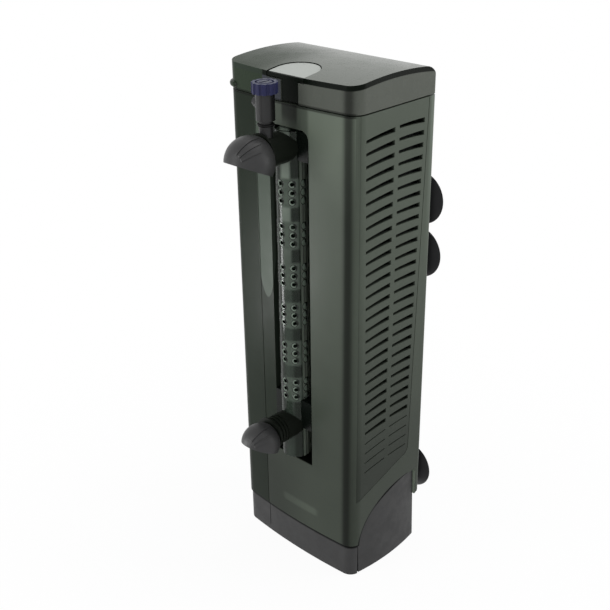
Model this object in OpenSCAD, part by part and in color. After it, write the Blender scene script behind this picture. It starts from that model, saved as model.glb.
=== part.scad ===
// Upright internal aquarium filter with a flip-top lid, louvred side panels,
// a spray bar in a front recess, two swivel outlets and an air tube.
// Millimetres. Origin at the middle of the underside, front towards -Y, +Z up.

/* [Housing] */
// Width of the housing across its sides
housing_w = 107; // [100:1:120]
// Depth of the housing from the middle of its front to its back
housing_d = 76; // [74:1:86]
// How far the middle of the front stands forward of its ends
front_bow = 3.2; // [1.2:0.2:4]
// Radius of the two front corners
front_corner_r = 9; // [6:0.5:10]
// Radius of the two rear corners
rear_corner_r = 3; // [3:0.5:5]
// Wall of the moulded housing and lid
wall = 2.4; // [2:0.1:2.8]
// Height of the seam between base and housing
base_seam_z = 25; // [22:0.5:28]
// Height and depth of the shadow line under that seam
seam_line = 1.2; // [0.8:0.1:1.6]
// Height of the neck that the lid fits over
neck_h = 6; // [4:0.5:8]
// Clearance between the neck and the lid
neck_gap = 0.4; // [0.3:0.1:0.6]
// Distance of the front crease from the middle
crease_x = 27; // [24:0.5:32]
// Width of the crease line
crease_w = 0.6; // [0.4:0.1:1]

/* [Front recess] */
// Distance of the recess's left side from the middle
recess_left = 15; // [14:0.1:17]
// Distance of the recess's right side from the middle
recess_right = 18.3; // [16:0.1:19]
// Depth of the recess
recess_d = 18; // [17.5:0.5:19]
// Height of the recess floor
recess_floor_z = 80.5; // [76:0.5:84]
// Height of the recess top
recess_top_z = 316; // [312:1:320]
// Height of the lid seam above the recess top
lid_land = 14; // [12:0.5:16]
// Corner radius of the recess
recess_corner_r = 6; // [3:0.5:7]
// Wall of the recess pocket
recess_wall = 2.2; // [1.6:0.1:2.6]

/* [Louvre panels] */
// Distance of a panel's front edge behind the front of the housing
panel_front = 7.5; // [6:0.5:9]
// Distance of a panel's rear edge ahead of the back, at the lid seam
panel_rear_top = 7.3; // [6:0.1:9]
// The same distance at the panel's lower rear corner
panel_rear_low = 15.6; // [13:0.1:18]
// Height of the panel's lower rear corner
panel_low_z = 78; // [74:1:82]
// Drop of the lower edge from rear to front
panel_drop = 15; // [10:0.5:16]
// Radius of the lower rear corner
panel_corner_r = 6; // [3:0.5:8]
// Gap line round a panel
panel_gap = 0.5; // [0.2:0.05:0.6]
// Clearance of a panel's front edge, which closes tight on the housing
panel_front_gap = 0.08; // [0.02:0.01:0.1]
// Width of the ledge that backs a panel's edge
ledge_w = 2; // [1.5:0.1:2.5]
// Thickness of that ledge
ledge_t = 1.4; // [1:0.1:1.6]
// Rows of open slots
open_rows = 27; // [20:1:27]
// Rows of blind grooves under them
blind_rows = 4; // [0:1:4]
// Height of the last row above the panel's lower rear corner
last_row_rise = 8.7; // [8:0.1:12]
// Height of a slot at its rear end
slot_h = 3.1; // [2.2:0.1:3.2]
// Height of a slot at its front end
slot_tip = 1.9; // [0.8:0.1:2]
// Height and depth of a blind groove
groove_h = 0.8; // [0.5:0.1:1.2]
// Radius of the arch that every slot follows
arch_r = 284; // [220:2:400]
// Distance of the arch's crown ahead of the back
arch_crown = 24; // [20:1:30]
// Height of the first row below the lid seam
first_row_drop = 13.2; // [12:0.2:16]
// Web between the two columns of slots
column_web = 4; // [3:0.2:5]
// Margin from the slots to the panel's rear edge
slot_rear_margin = 3.2; // [3:0.1:4]
// Margin from the slots to the panel's front edge
slot_front_margin = 4; // [3.5:0.1:5]
// How far the front ends of the slots move back from top to bottom
slot_front_taper = 3; // [0:0.5:5]

/* [Lid] */
// Height of the lid's crown above the seam
lid_h = 20; // [18:0.5:24]
// How far the crown stands above the front and back of its arch
lid_arch = 3; // [2:0.5:4]
// Radius of the lid's rear top edge
lid_rear_r = 12; // [8:0.5:13]
// Thickness of the lid's top
lid_top_t = 2.6; // [2:0.1:3]
// Gap at the seam under the lid
seam_gap = 0.9; // [0.3:0.1:1.1]
// Half width of the release tab
tab_r = 14.9; // [13:0.1:16]
// Length of the release tab from front to back
tab_l = 24; // [20:0.5:26]
// Gap round the release tab
tab_gap = 0.5; // [0.4:0.05:0.7]
// How far the release tab lies below the lid's top
tab_sink = 0.5; // [0.3:0.1:1]
// Thickness of the release tab
tab_t = 2.2; // [1.8:0.1:2.6]
// Left edge of the latch tongue
tongue_x = -3; // [-7:0.5:-2]
// Width of the latch tongue
tongue_w = 13.4; // [10:0.2:14]
// Thickness of the latch tongue
tongue_t = 1.7; // [1.4:0.1:2]
// Radius of the tab's pivot stubs
tab_pin_r = 1.25; // [1:0.05:1.5]
// Radial clearance of running pins
pin_gap = 0.05; // [0.02:0.01:0.1]
// Section radius of the lid's finger lip
lip_r = 2; // [1.5:0.1:2.2]
// Angle that the finger lip runs round the left front corner
lip_angle = 76; // [60:1:85]
// Height of the finger lip above the lid's lower edge
lip_rise = 2.7; // [2.2:0.1:4]

/* [Lid hinge] */
// Radius of the hinge pins
hinge_pin_r = 1.5; // [1:0.05:1.6]
// Radius of the hinge knuckles
knuckle_r = 2.8; // [2.6:0.1:3]
// Distance of the hinge axis behind the housing
hinge_out = 3.3; // [3.2:0.1:4]
// Distance of each hinge from the middle
hinge_x = 33; // [28:1:36]
// Length of a lid knuckle
knuckle_l = 7.4; // [5:0.2:9]
// Length of each housing ear
ear_l = 5; // [4:0.5:7]
// Side gap between knuckle and ears
knuckle_gap = 0.3; // [0.2:0.05:0.5]

/* [Base] */
// How far the base skirt lies inside the housing's outline
skirt_inset = 1; // [0.6:0.1:1.4]
// How far the back of the base lies ahead of the housing's back
base_back_inset = 5.7; // [5:0.1:7]
// Thickness of the bottom cover
cover_t = 3; // [2.5:0.1:4]
// Height of the cheeks
cheek_h = 59; // [54:0.5:61]
// Length of the curved part of a cheek's edge
cheek_a = 51; // [46:0.5:54]
// Height where the curved part starts
cheek_foot = 24; // [20:0.5:28]
// Distance of the cheek's front edge behind the front of the housing
cheek_front = 10.7; // [10:0.1:12]
// Gap in front of the cheek
cheek_gap = 1; // [0.5:0.1:1.3]
// Thickness of a cheek's flat back plate
cheek_t = 3.3; // [2.8:0.1:4]
// Radius of the cheek's bowed face, seen from above
cheek_bow_r = 170; // [140:5:260]
// Tilt of the cheek's face out towards its foot
cheek_tilt = 1.8; // [0.5:0.1:2.5]
// Height of the rear lower edge of the housing
housing_back_z = 36.3; // [34:0.1:40]
// Height of the chamfer on that edge
back_chamfer = 2.3; // [2:0.1:6]
// Screw head radius in the bottom cover
screw_head_r = 3.2; // [2.5:0.1:4]
// Screw shank radius
screw_r = 1.5; // [1.2:0.1:2]

/* [Spray bar] */
// Outer radius of the spray bar
bar_r = 10; // [9:0.1:10.5]
// Wall of the spray bar
bar_wall = 1.8; // [1.4:0.1:2.4]
// Depth of the bar's axis behind the front face
bar_depth = 4.4; // [3.5:0.1:5]
// Lower end of the bar above the recess floor
bar_foot = 4.2; // [3:0.1:6]
// Upper end of the bar below the recess top
bar_head = 2; // [1:0.1:4]
// Groups of jets
jet_groups = 6; // [3:1:6]
// Height of the lowest group above the recess floor
jet_first = 57.4; // [55:0.1:62]
// Depth of the highest group below the recess top
jet_last = 39.6; // [38:0.1:46]
// Rows of jets in a group
jet_rows = 3; // [1:1:3]
// Height from one row of jets to the next
jet_pitch = 5.6; // [4.6:0.1:6.4]
// Radius of a jet
jet_r = 1.3; // [0.8:0.1:1.6]
// Angle from the middle column of jets to the outer ones
jet_angle = 45; // [30:1:50]
// Radius of the ports and stubs behind the bar
port_r = 6.5; // [5:0.1:7]
// Radial gap of a stub in its port
port_gap = 0.25; // [0.15:0.05:0.4]
// Outer radius of the inner flow sleeve
sleeve_r = 6.3; // [5.5:0.1:6.6]
// Wall of the inner flow sleeve
sleeve_wall = 1.2; // [0.8:0.1:1.6]
// Thickness of the plate of a bar cap
cap_t = 0.7; // [0.6:0.1:1]
// Radial depth of a clip round the back of the bar
clip_t = 2.2; // [1.6:0.1:3]
// Height of the upper clip
clip_h = 18; // [12:0.5:20]
// Height of the lower clip
low_clip_h = 21.5; // [14:0.5:24]
// Height of the lower clip's foot above the recess floor
clip_low = 27.7; // [26:0.1:32]
// Gap between a clip's wings and the sides of the recess
clip_gap = 0.3; // [0.2:0.05:0.5]
// Space between the upper clip and the recess top
clip_high = 1; // [0.6:0.1:3]

/* [Outlets] */
// Distance of the upper outlet's axis below the recess top
upper_axis_drop = 11.6; // [11:0.1:14]
// Height of the lower outlet's axis above the recess floor
lower_axis_rise = 28.8; // [26:0.1:30]
// Radius of the collars
collar_r = 9.9; // [8.5:0.1:9.9]
// Reach of both collars in front of the housing
collar_reach = 21.5; // [21.3:0.1:24]
// Radius of the swivel spigot
spigot_r = 6; // [5:0.05:6.2]
// Length of the swivel spigot
spigot_l = 6.5; // [5:0.1:7]
// Radius of a spigot's bore
spigot_bore_r = 4.8; // [3.5:0.1:4.9]
// Wall of the hoods
hood_wall = 1.8; // [1.4:0.1:2.2]
// Wall of a hood's swivel ring
ring_wall = 1.3; // [1:0.05:1.4]
// Gap between a hood and its collar
hood_gap = 0.3; // [0.2:0.05:0.5]
// Radius of the upper hood
upper_hood_r = 15.5; // [15:0.1:16.5]
// Radius of the lower hood
lower_hood_r = 13.2; // [13:0.1:15]
// Distance of a hood's centre ahead of its back
hood_ahead = 7.8; // [7:0.1:8]
// How far a hood's centre hangs below the axis it turns on
hood_sag = 3.1; // [0:0.1:3.2]
// Slope of the mouths
mouth_slope = 25; // [18:1:32]
// Depth of the upper mouth plane below the hood's centre
upper_mouth_drop = 5; // [4:0.1:6.5]
// Depth of the lower mouth plane below the hood's centre
lower_mouth_drop = 3.2; // [2.5:0.1:5]
// Number of raised ribs on a hood
hood_ribs = 3; // [1:1:3]
// Width of a rib
rib_w = 1.6; // [1:0.1:2]
// Height of a rib
rib_h = 0.5; // [0.3:0.1:0.8]
// Grooves round the lower collar
collar_grooves = 3; // [0:1:3]
// Width and depth of those grooves
collar_groove = 0.8; // [0.4:0.1:0.9]
// Distance from one groove to the next
groove_pitch = 2.6; // [1.8:0.1:3]
// Thickness of a collar's front flange
flange_t = 1; // [0.8:0.1:1.2]
// Radius of the upper collar's flange
upper_flange_r = 12; // [10:0.1:12.5]
// Radius of the lower collar's flange
lower_flange_r = 11.3; // [10:0.1:11.5]

/* [Air tube] */
// Distance of the air tube's axis in front of the housing
air_ahead = 16.1; // [15:0.1:16.2]
// Radius of the tube's lower neck
air_neck_r = 4.1; // [3.5:0.1:4.2]
// Radius of the tube's upper barrel
air_barrel_r = 5.7; // [5:0.1:6]
// Height of the barrel's foot above the collar's axis
air_barrel_z = 19.1; // [17:0.1:20]
// Length of the barrel
air_barrel_l = 15.6; // [13:0.1:16]
// Radius of the air bore
air_bore_r = 2.2; // [1.5:0.1:2.5]
// Radius of the knob
knob_r = 7.8; // [7:0.1:8.2]
// Height of the knob
knob_h = 6.4; // [5:0.1:8]
// Number of finger flutes round the knob
knob_flutes = 12; // [8:1:14]
// Radius of a flute
flute_r = 1.3; // [0.8:0.1:1.5]
// Length of the knob's stem
knob_stem_l = 7; // [5:0.5:9]
// Section radius of the rubber ring on the neck
ring_r = 0.9; // [0.7:0.1:1.1]

/* [Pump] */
// Distance of the pump's axis ahead of the housing's back
pump_back = 30; // [28:0.5:32]
// Width of the sealed motor block
motor_w = 52; // [46:1:60]
// Depth of the sealed motor block
motor_d = 42; // [40:1:42]
// Height of the motor block
motor_h = 40; // [36:0.5:41]
// Radius of the rotor well
well_r = 9.3; // [8.5:0.1:10]
// Gap between the magnet and the well
rotor_gap = 0.5; // [0.4:0.05:0.8]
// Radius of the shaft
shaft_r = 1.2; // [1:0.05:1.5]
// Radius over the blades
blade_r = 15.5; // [13:0.1:16]
// Number of blades
blades = 6; // [4:1:8]
// Height of the blades
blade_h = 9; // [7:0.5:10]
// Inner radius of the pump chamber
chamber_r = 18; // [17:0.1:18.5]
// Wall of the pump chamber
chamber_wall = 2; // [1.6:0.1:2.4]
// Radius of the pump's inlet eye
eye_r = 8; // [7:0.1:9]
// Height of the deck's underside
deck_z = 64; // [63:0.5:66]
// Thickness of the deck
deck_t = 2.5; // [2:0.1:3]
// Inner width of the riser duct
riser_w = 16; // [14:0.5:18]
// Inner depth of the riser duct
riser_d = 7; // [6:0.1:7.4]
// Wall of the riser duct
riser_wall = 1.4; // [1.2:0.1:1.6]
// Radius of the cord gland
gland_r = 5.5; // [4.5:0.1:6.5]
// Distance of the gland to the left of the middle
gland_x = 26; // [20:1:32]
// Height of the gland
gland_z = 14; // [12:0.5:17]
// Radius of the mains cord that the gland takes
cord_r = 3.2; // [2.8:0.1:3.6]
// Radius and height of a shaft bush
bush_r = 3.2; // [2.8:0.1:3.6]

/* [Media] */
// Thickness of each foam pad
foam_t = 14; // [12:0.5:15]
// Thickness of each foam carrier
carrier_t = 1.8; // [1.4:0.1:2.2]
// Half width of the media basket
basket_half = 25; // [23:0.5:26]
// Wall of the media basket
basket_wall = 1.6; // [1.2:0.1:2]
// Depth of the tops of pads and basket below the lid seam
media_drop = 19.2; // [18:0.1:30]
// Width of the slots in basket and carriers
basket_slot = 3; // [2.5:0.1:3.4]
// Height from one row of those slots to the next
basket_pitch = 16; // [14:0.5:20]
// Radius of the handle's wire
handle_r = 1.4; // [1.2:0.1:1.6]
// Reach of the handle from its pivots
handle_reach = 20; // [16:0.5:21]

/* [Bracket and suction cups] */
// Distance of each rail from the middle
rail_x = 15; // [12:0.5:16]
// Height of the bracket's underside
bracket_z = 198; // [190:1:205]
// Height of the bracket
bracket_h = 76; // [72:1:80]
// Width of the bracket
bracket_w = 82; // [80:1:88]
// Thickness of the bracket plate
bracket_t = 2.3; // [2:0.1:2.5]
// Thickness of a rail's head and of the bracket's lips
rail_t = 1.3; // [1.1:0.1:1.4]
// Sliding gap between rails and bracket
rail_gap = 0.3; // [0.2:0.05:0.4]
// Distance of the cups from the middle
cup_x = 33.5; // [32:0.5:36]
// Radius of a suction cup
cup_r = 18; // [16:0.1:18.8]
// Depth of a suction cup
cup_h = 9; // [7:0.1:9.5]
// Radius of a cup's neck
cup_neck_r = 3.8; // [3:0.1:4.2]
// Height from the lower bracket cups to the upper ones
cup_pitch = 38.5; // [38:0.1:40]
// Height of the lowest pair of cups
low_cup_z = 43.5; // [42:0.5:52]

/* [Hidden] */
$fn = 64;
FINE = 720;
EPS = 0.01;
OVER = 1;
seat_gap = 0.1;

GREEN = [0.30, 0.34, 0.31, 0.85];
PALE = [0.62, 0.66, 0.62, 0.9];
DARK = [0.25, 0.25, 0.26];
BLACK = [0.09, 0.09, 0.09];
CLEAR = [0.62, 0.70, 0.66, 0.5];
BLUE = [0.20, 0.21, 0.42];
FOAM = [0.16, 0.17, 0.17];
STEEL = [0.75, 0.76, 0.78];
STONE = [0.80, 0.74, 0.64];

half_w = housing_w / 2;
front_y = -housing_d / 2;
back_y = housing_d / 2;
bow_r = (pow(half_w, 2) + pow(front_bow, 2)) / (2 * front_bow);
bow_y = front_y + bow_r;
lid_seam_z = recess_top_z + lid_land;
lid_top_z = lid_seam_z + lid_h;
lid_low_z = lid_seam_z + seam_gap;
neck_top_z = lid_seam_z + neck_h;
neck_inset = wall + neck_gap;
neck_wall = 2;
neck_skirt = 8;

arch_lid_r = (pow(half_d(), 2) + pow(lid_arch, 2)) / (2 * lid_arch);
lid_rear_over = 0.2;
lid_rear_y = back_y - lid_rear_r + lid_rear_over;
lid_arch_z = lid_top_z - arch_lid_r;
lid_rear_z = lid_arch_z + sqrt(pow(arch_lid_r - lid_rear_r, 2) - pow(lid_rear_y, 2));

recess_back_y = front_y + recess_d;
pocket_back_y = recess_back_y + recess_wall;

bar_y = front_y + bar_depth;
bar_low_z = recess_floor_z + bar_foot;
bar_top_z = recess_top_z - bar_head;
jet_group_pitch = (recess_top_z - jet_last - recess_floor_z - jet_first) / max(jet_groups - 1, 1);
row_pitch = (lid_seam_z - first_row_drop - panel_low_z - last_row_rise) / (open_rows + blind_rows - 1);
upper_z = recess_top_z - upper_axis_drop;
lower_z = recess_floor_z + lower_axis_rise;

collar_y = front_y - collar_reach;
hood_back_y = collar_y - hood_gap;
hood_y = hood_back_y - hood_ahead;
air_y = front_y - air_ahead;
barrel_z = upper_z + air_barrel_z;
barrel_top_z = barrel_z + air_barrel_l;
knob_gap = 0.3;
knob_z = barrel_top_z + knob_gap;
knob_stem_r = air_bore_r - pin_gap;

base_back_y = back_y - base_back_inset;
cheek_x = half_w - cheek_t;
cheek_y = front_y + cheek_front;
cheek_back_y = base_back_y - 0.2;
cheek_crown_y = cheek_y + cheek_a;
cheek_rise = cheek_h - cheek_foot;
housing_cut_gap = 0.5;

pump_y = back_y - pump_back;
motor_z = cover_t;
motor_top_z = motor_z + motor_h;
well_floor_z = motor_z + 5;
chamber_z = motor_top_z;
blade_z = chamber_z + 2.2;
chamber_top_z = blade_z + blade_h + 1;
deck_top_z = deck_z + deck_t;
media_z = deck_top_z + 0.3;
media_top_z = lid_seam_z - media_drop;
media_h = media_top_z - media_z;
riser_y = pocket_back_y + 0.3;
riser_back_y = riser_y + 2 * riser_wall + riser_d;
riser_low_z = deck_top_z + 0.3;
riser_top_z = upper_z + port_r + riser_wall + seat_gap;

media_inset = wall + ledge_t + 0.6;
foam_out_x = half_w - media_inset;
foam_in_x = foam_out_x - foam_t;
carrier_in_x = foam_in_x - 0.3 - carrier_t;
media_back_y = back_y - wall - 0.6;
foam_front_y = front_y + 12;
basket_front_y = riser_back_y + 0.4;
handle_y = (basket_front_y + media_back_y) / 2 - handle_reach / 2;
handle_z = media_top_z - 4;
handle_x = basket_half + 0.3 + handle_r;

hinge_y = back_y + hinge_out;
hinge_z = lid_low_z;

rail_stem = 4;
rail_head = 10;
rail_y = back_y + rail_gap + rail_t + rail_gap;
rail_back_y = rail_y + rail_t;
plate_y = rail_back_y + rail_gap;
rail_z0 = bracket_z + 4;
rail_z1 = bracket_z + bracket_h - 4;
cup_y = plate_y + bracket_t;
cup_head_t = 1.3;
cup_head_r = cup_neck_r + 1.5;
cup_z = bracket_z + bracket_h / 2 - cup_pitch / 2;

function half_d() = housing_d / 2;
// Centre line of the front corners
function corner_y() = bow_y - sqrt(pow(bow_r - front_corner_r, 2) - pow(half_w - front_corner_r, 2));
function arch_z(y) = lid_top_z - arch_lid_r + sqrt(pow(arch_lid_r, 2) - pow(y, 2));
function mix(a, b, t) = a + (b - a) * t;
function row_z(row) = lid_seam_z - first_row_drop - row * row_pitch;
function row_share(row) = row / (open_rows - 1);

// Rear edge of the panel at height z, slanting forwards on its way down
function panel_rear_y(z) =
    back_y - mix(panel_rear_low, panel_rear_top, (z - panel_low_z) / (lid_seam_z - panel_low_z));

// ---------------------------------------------------------------- helpers

// Extrudes a (y, z) outline along X
module along_x(x0, x1) {
    translate([x0, 0, 0])
        rotate([90, 0, 90])
            linear_extrude(x1 - x0)
                children();
}

// Extrudes an (x, z) outline along Y
module along_y(y0, y1) {
    translate([0, y1, 0])
        rotate([90, 0, 0])
            linear_extrude(y1 - y0)
                children();
}

// Extrudes an (x, y) outline from one height to another
module upright(z0, z1) {
    translate([0, 0, z0])
        linear_extrude(z1 - z0)
            children();
}

module rod_y(x, y0, y1, z, r) {
    translate([x, y0, z])
        rotate([-90, 0, 0])
            cylinder(h = y1 - y0, r = r);
}

module rod_x(x0, x1, y, z, r) {
    translate([x0, y, z])
        rotate([0, 90, 0])
            cylinder(h = x1 - x0, r = r);
}

module rod_z(x, y, z0, z1, r) {
    translate([x, y, z0])
        cylinder(h = z1 - z0, r = r);
}

module box(low, high) {
    translate(low)
        cube([high[0] - low[0], high[1] - low[1], high[2] - low[2]]);
}

module both_sides() {
    children();
    mirror([1, 0, 0])
        children();
}

// Outline of the housing seen from above, drawn in by inset all round:
// a bowed front, round front corners and tight rear corners
module footprint(inset = 0) {
    hw = half_w - inset;
    r = front_corner_r - inset;
    rear_r = max(rear_corner_r - inset, 0.4);
    big_r = bow_r - inset;
    corner_x = hw - r;
    corner_y = bow_y - sqrt(pow(big_r - r, 2) - pow(corner_x, 2));
    touch_x = corner_x * big_r / (big_r - r);
    rear_y = back_y - inset;
    intersection() {
        translate([0, bow_y])
            circle(r = big_r, $fn = FINE);
        translate([-touch_x, front_y])
            square([2 * touch_x, half_d()]);
    }
    for (side = [-1, 1]) {
        translate([side * corner_x, corner_y])
            circle(r = r);
        translate([side * (hw - rear_r), rear_y - rear_r])
            circle(r = rear_r);
    }
    translate([-hw, corner_y])
        square([2 * hw, rear_y - rear_r - corner_y]);
    translate([-(hw - rear_r), rear_y - rear_r - EPS])
        square([2 * (hw - rear_r), rear_r + EPS]);
}

module ring_wall_between(z0, z1, outer, inner) {
    upright(z0, z1)
        difference() {
            footprint(outer);
            footprint(inner);
        }
}

// Side outline of a louvre panel, grown all round by grow
module panel_outline(grow = 0, front_grow = undef) {
    y0 = front_y + panel_front - (is_undef(front_grow) ? grow : front_grow);
    rear_low = panel_rear_y(panel_low_z) + grow;
    rear_top = panel_rear_y(lid_seam_z) + grow;
    r = panel_corner_r + grow;
    low_z = panel_low_z - grow;
    steps = 8;
    corner = [for (i = [0 : steps])
        let (a = -90 + 85 * i / steps)
        [rear_low - r + r * cos(a), low_z + r + r * sin(a)]];
    polygon(concat(
        [[y0, lid_seam_z + grow], [y0, low_z - panel_drop]],
        corner,
        [[rear_top, lid_seam_z + grow]]));
}

// Centre of the circle of radius r that passes through p and q and lies below them
function centre_under(p, q, r) =
    let (d = q - p, rise = sqrt(r * r - d * d / 4))
    (p + q) / 2 + rise * [d[1], -d[0]] / norm(d);

// One slot: its upper edge follows the arch, and its lower edge closes up
// towards the front, so that the slot tapers from its rear end to a thin tip
module slot(z, y0, y1, h, tip) {
    top_r = arch_r + h / 2;
    crown = [back_y - arch_crown, z - arch_r];
    p = [y0, crown[1] + sqrt(pow(top_r, 2) - pow(y0 - crown[0], 2)) - tip];
    q = [y1, crown[1] + sqrt(pow(top_r, 2) - pow(y1 - crown[0], 2)) - h];
    intersection() {
        difference() {
            translate(crown)
                circle(r = top_r, $fn = FINE);
            translate(centre_under(p, q, arch_r))
                circle(r = arch_r, $fn = FINE);
        }
        translate([y0, z - slot_h * 3])
            square([y1 - y0, slot_h * 5]);
    }
}

// One arched row of two slots
module slot_row(row, h, tip) {
    z = row_z(row);
    share = min(row_share(row), 1);
    y0 = front_y + panel_front + slot_front_margin + slot_front_taper * share;
    y1 = panel_rear_y(z) - slot_rear_margin;
    web_y = (y0 + y1) / 2 + column_web / 4;
    slot(z, y0, web_y - column_web / 2, h, tip);
    slot(z, web_y + column_web / 2, y1, h, tip);
}

// Side outline of a cheek: upright front, elliptical top, flat behind its crown
module cheek_outline(grow = 0) {
    steps = 24;
    edge = [for (i = [0 : steps])
        let (a = 180 - 90 * i / steps)
        [cheek_crown_y + (cheek_a + grow) * cos(a), cheek_foot + (cheek_rise + grow) * sin(a)]];
    polygon(concat(
        [[cheek_y - grow, -grow]],
        edge,
        [[cheek_back_y + grow, cheek_h - 1 + grow], [cheek_back_y + grow, -grow]]));
}

// ---------------------------------------------------------------- housing

// The recess, drawn in by inset at its sides, top and floor: round rear
// corners and round top corners
module recess_void(inset = 0) {
    r = recess_corner_r - inset;
    x0 = -recess_left + inset;
    x1 = recess_right - inset;
    z0 = recess_floor_z + inset;
    z1 = recess_top_z - inset;
    intersection() {
        upright(z0, z1) {
            translate([x0, front_y - OVER])
                square([x1 - x0, recess_d + OVER - r]);
            translate([x0 + r, front_y - OVER])
                square([x1 - x0 - 2 * r, recess_d + OVER]);
            for (x = [x0 + r, x1 - r])
                translate([x, recess_back_y - r])
                    circle(r = r);
        }
        along_y(front_y - 2 * OVER, recess_back_y + OVER) {
            translate([x0 - OVER, z0 - OVER])
                square([x1 - x0 + 2 * OVER, z1 - r - z0 + OVER]);
            translate([x0 + r, z0])
                square([x1 - x0 - 2 * r, z1 - z0]);
            for (x = [x0 + r, x1 - r])
                translate([x, z1 - r])
                    circle(r = r);
        }
    }
}

module recess_pocket() {
    intersection() {
        upright(recess_floor_z - recess_wall, recess_top_z + recess_wall)
            footprint(wall / 2);
        box([-recess_left - recess_wall, front_y - OVER, 0],
            [recess_right + recess_wall, pocket_back_y, lid_seam_z]);
    }
}

module panel_ledges() {
    both_sides()
        intersection() {
            ring_wall_between(cheek_h, lid_seam_z, wall - 0.2, wall + ledge_t);
            along_x(0, half_w)
                difference() {
                    panel_outline(ledge_w);
                    panel_outline(-ledge_w);
                }
        }
}

module panel_windows() {
    both_sides()
        intersection() {
            ring_wall_between(cheek_h, lid_seam_z, -OVER, wall + seat_gap);
            along_x(0, half_w + 2 * OVER)
                panel_outline(panel_gap, panel_front_gap);
        }
}

module rails() {
    both_sides() {
        box([rail_x - rail_stem / 2, back_y - EPS, rail_z0],
            [rail_x + rail_stem / 2, rail_y + EPS, rail_z1]);
        box([rail_x - rail_head / 2, rail_y, rail_z0],
            [rail_x + rail_head / 2, rail_back_y, rail_z1]);
    }
}

module low_cup_seats() {
    for (side = [-1, 1])
        difference() {
            rod_y(side * cup_x, back_y - EPS, cup_y, low_cup_z, cup_head_r + 1.8);
            rod_y(side * cup_x, back_y, plate_y, low_cup_z, cup_head_r + 0.4);
            rod_y(side * cup_x, plate_y - OVER, cup_y + OVER, low_cup_z, cup_neck_r + rail_gap);
        }
}

module housing_ears() {
    outer = knuckle_l / 2 + knuckle_gap;
    for (side = [-1, 1])
        for (end = [-1, 1]) {
            x0 = side * hinge_x + (end > 0 ? outer : -outer - ear_l);
            rod_x(x0, x0 + ear_l, hinge_y, hinge_z, knuckle_r);
            box([x0, back_y - EPS, hinge_z - 6], [x0 + ear_l, hinge_y, hinge_z - 0.6]);
        }
}

module front_crease(z0, z1, inset) {
    box([-crease_x - crease_w / 2, front_y - OVER, z0],
        [-crease_x + crease_w / 2, front_y + inset + 1.1, z1]);
}

module lower_cut() {
    along_x(-half_w - OVER, half_w + OVER) {
        cheek_outline(housing_cut_gap);
        polygon([[cheek_back_y, -OVER], [cheek_back_y, housing_back_z],
                 [back_y, housing_back_z + back_chamfer],
                 [back_y + OVER, housing_back_z + back_chamfer], [back_y + OVER, -OVER]]);
    }
}

module housing() {
    color(GREEN)
        difference() {
            union() {
                difference() {
                    ring_wall_between(base_seam_z, lid_seam_z, 0, wall);
                    lower_cut();
                }
                ring_wall_between(lid_seam_z - neck_skirt, lid_seam_z, wall - 0.2,
                                  neck_inset + neck_wall);
                ring_wall_between(lid_seam_z - EPS, neck_top_z, neck_inset,
                                  neck_inset + neck_wall);
                recess_pocket();
                panel_ledges();
                rails();
                low_cup_seats();
                housing_ears();
            }
            panel_windows();
            recess_void();
            for (z = [lower_z, upper_z])
                rod_y(0, recess_back_y - OVER, pocket_back_y + OVER, z, port_r + port_gap);
            front_crease(base_seam_z - OVER, lid_seam_z - 5, 0);
            for (side = [-1, 1])
                rod_x(side * hinge_x - 12, side * hinge_x + 12, hinge_y, hinge_z,
                      hinge_pin_r + pin_gap);
        }
}

module louvre_panel() {
    color(GREEN)
        difference() {
            intersection() {
                ring_wall_between(base_seam_z, lid_seam_z, 0, wall);
                along_x(0, half_w + OVER)
                    panel_outline();
            }
            along_x(0, half_w + OVER)
                for (row = [0 : open_rows - 1])
                    slot_row(row, slot_h, slot_tip);
            along_x(half_w - groove_h, half_w + OVER)
                for (row = [open_rows : open_rows + blind_rows - 1])
                    slot_row(row, groove_h, groove_h);
        }
}

// ---------------------------------------------------------------- lid

// Side outline of the lid: arched top that rolls over into the back. The back
// arc runs just past the back, which then trims it.
module lid_profile(inset, top_inset) {
    steps = 20;
    rear_steps = 8;
    top_r = arch_lid_r - top_inset;
    rear_r = lid_rear_r - inset;
    front_a = -asin((half_d() + OVER) / arch_lid_r);
    rear_a = asin(lid_rear_y / (arch_lid_r - lid_rear_r));
    top = [for (i = [0 : steps])
        let (a = mix(front_a, rear_a, i / steps))
        [top_r * sin(a), lid_arch_z + top_r * cos(a)]];
    rear = [for (i = [1 : rear_steps])
        let (a = (90 - rear_a) * (1 - i / rear_steps))
        [lid_rear_y + rear_r * cos(a), lid_rear_z + rear_r * sin(a)]];
    polygon(concat(
        top, rear,
        [[lid_rear_y + rear_r, lid_low_z - 2 * OVER], [top[0][0], lid_low_z - 2 * OVER]]));
}

module lid_body(inset, top_inset, z0) {
    intersection() {
        upright(z0, lid_top_z + OVER)
            footprint(inset);
        along_x(-half_w - OVER, half_w + OVER)
            lid_profile(inset, top_inset);
    }
}

// Outline of the release tab seen from above: square front, round back
module tab_outline(grow = 0) {
    round_y = front_y + tab_l - tab_r;
    translate([0, round_y])
        circle(r = tab_r + grow);
    translate([-tab_r - grow, front_y - OVER])
        square([2 * (tab_r + grow), round_y - front_y + OVER]);
}

tab_pin_y = front_y + 5;
tab_pin_z = lid_top_z - lid_arch - lid_top_t - 1.6;
tab_lug_t = 2.4;
tongue_sink = 0.6;
tab_boss_r = tab_pin_r + 1.6;

module lid_knuckles() {
    for (side = [-1, 1]) {
        x0 = side * hinge_x - knuckle_l / 2;
        rod_x(x0, x0 + knuckle_l, hinge_y, hinge_z, knuckle_r);
        box([x0, back_y - wall / 2, hinge_z + 0.3], [x0 + knuckle_l, hinge_y, hinge_z + 5]);
    }
}

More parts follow.
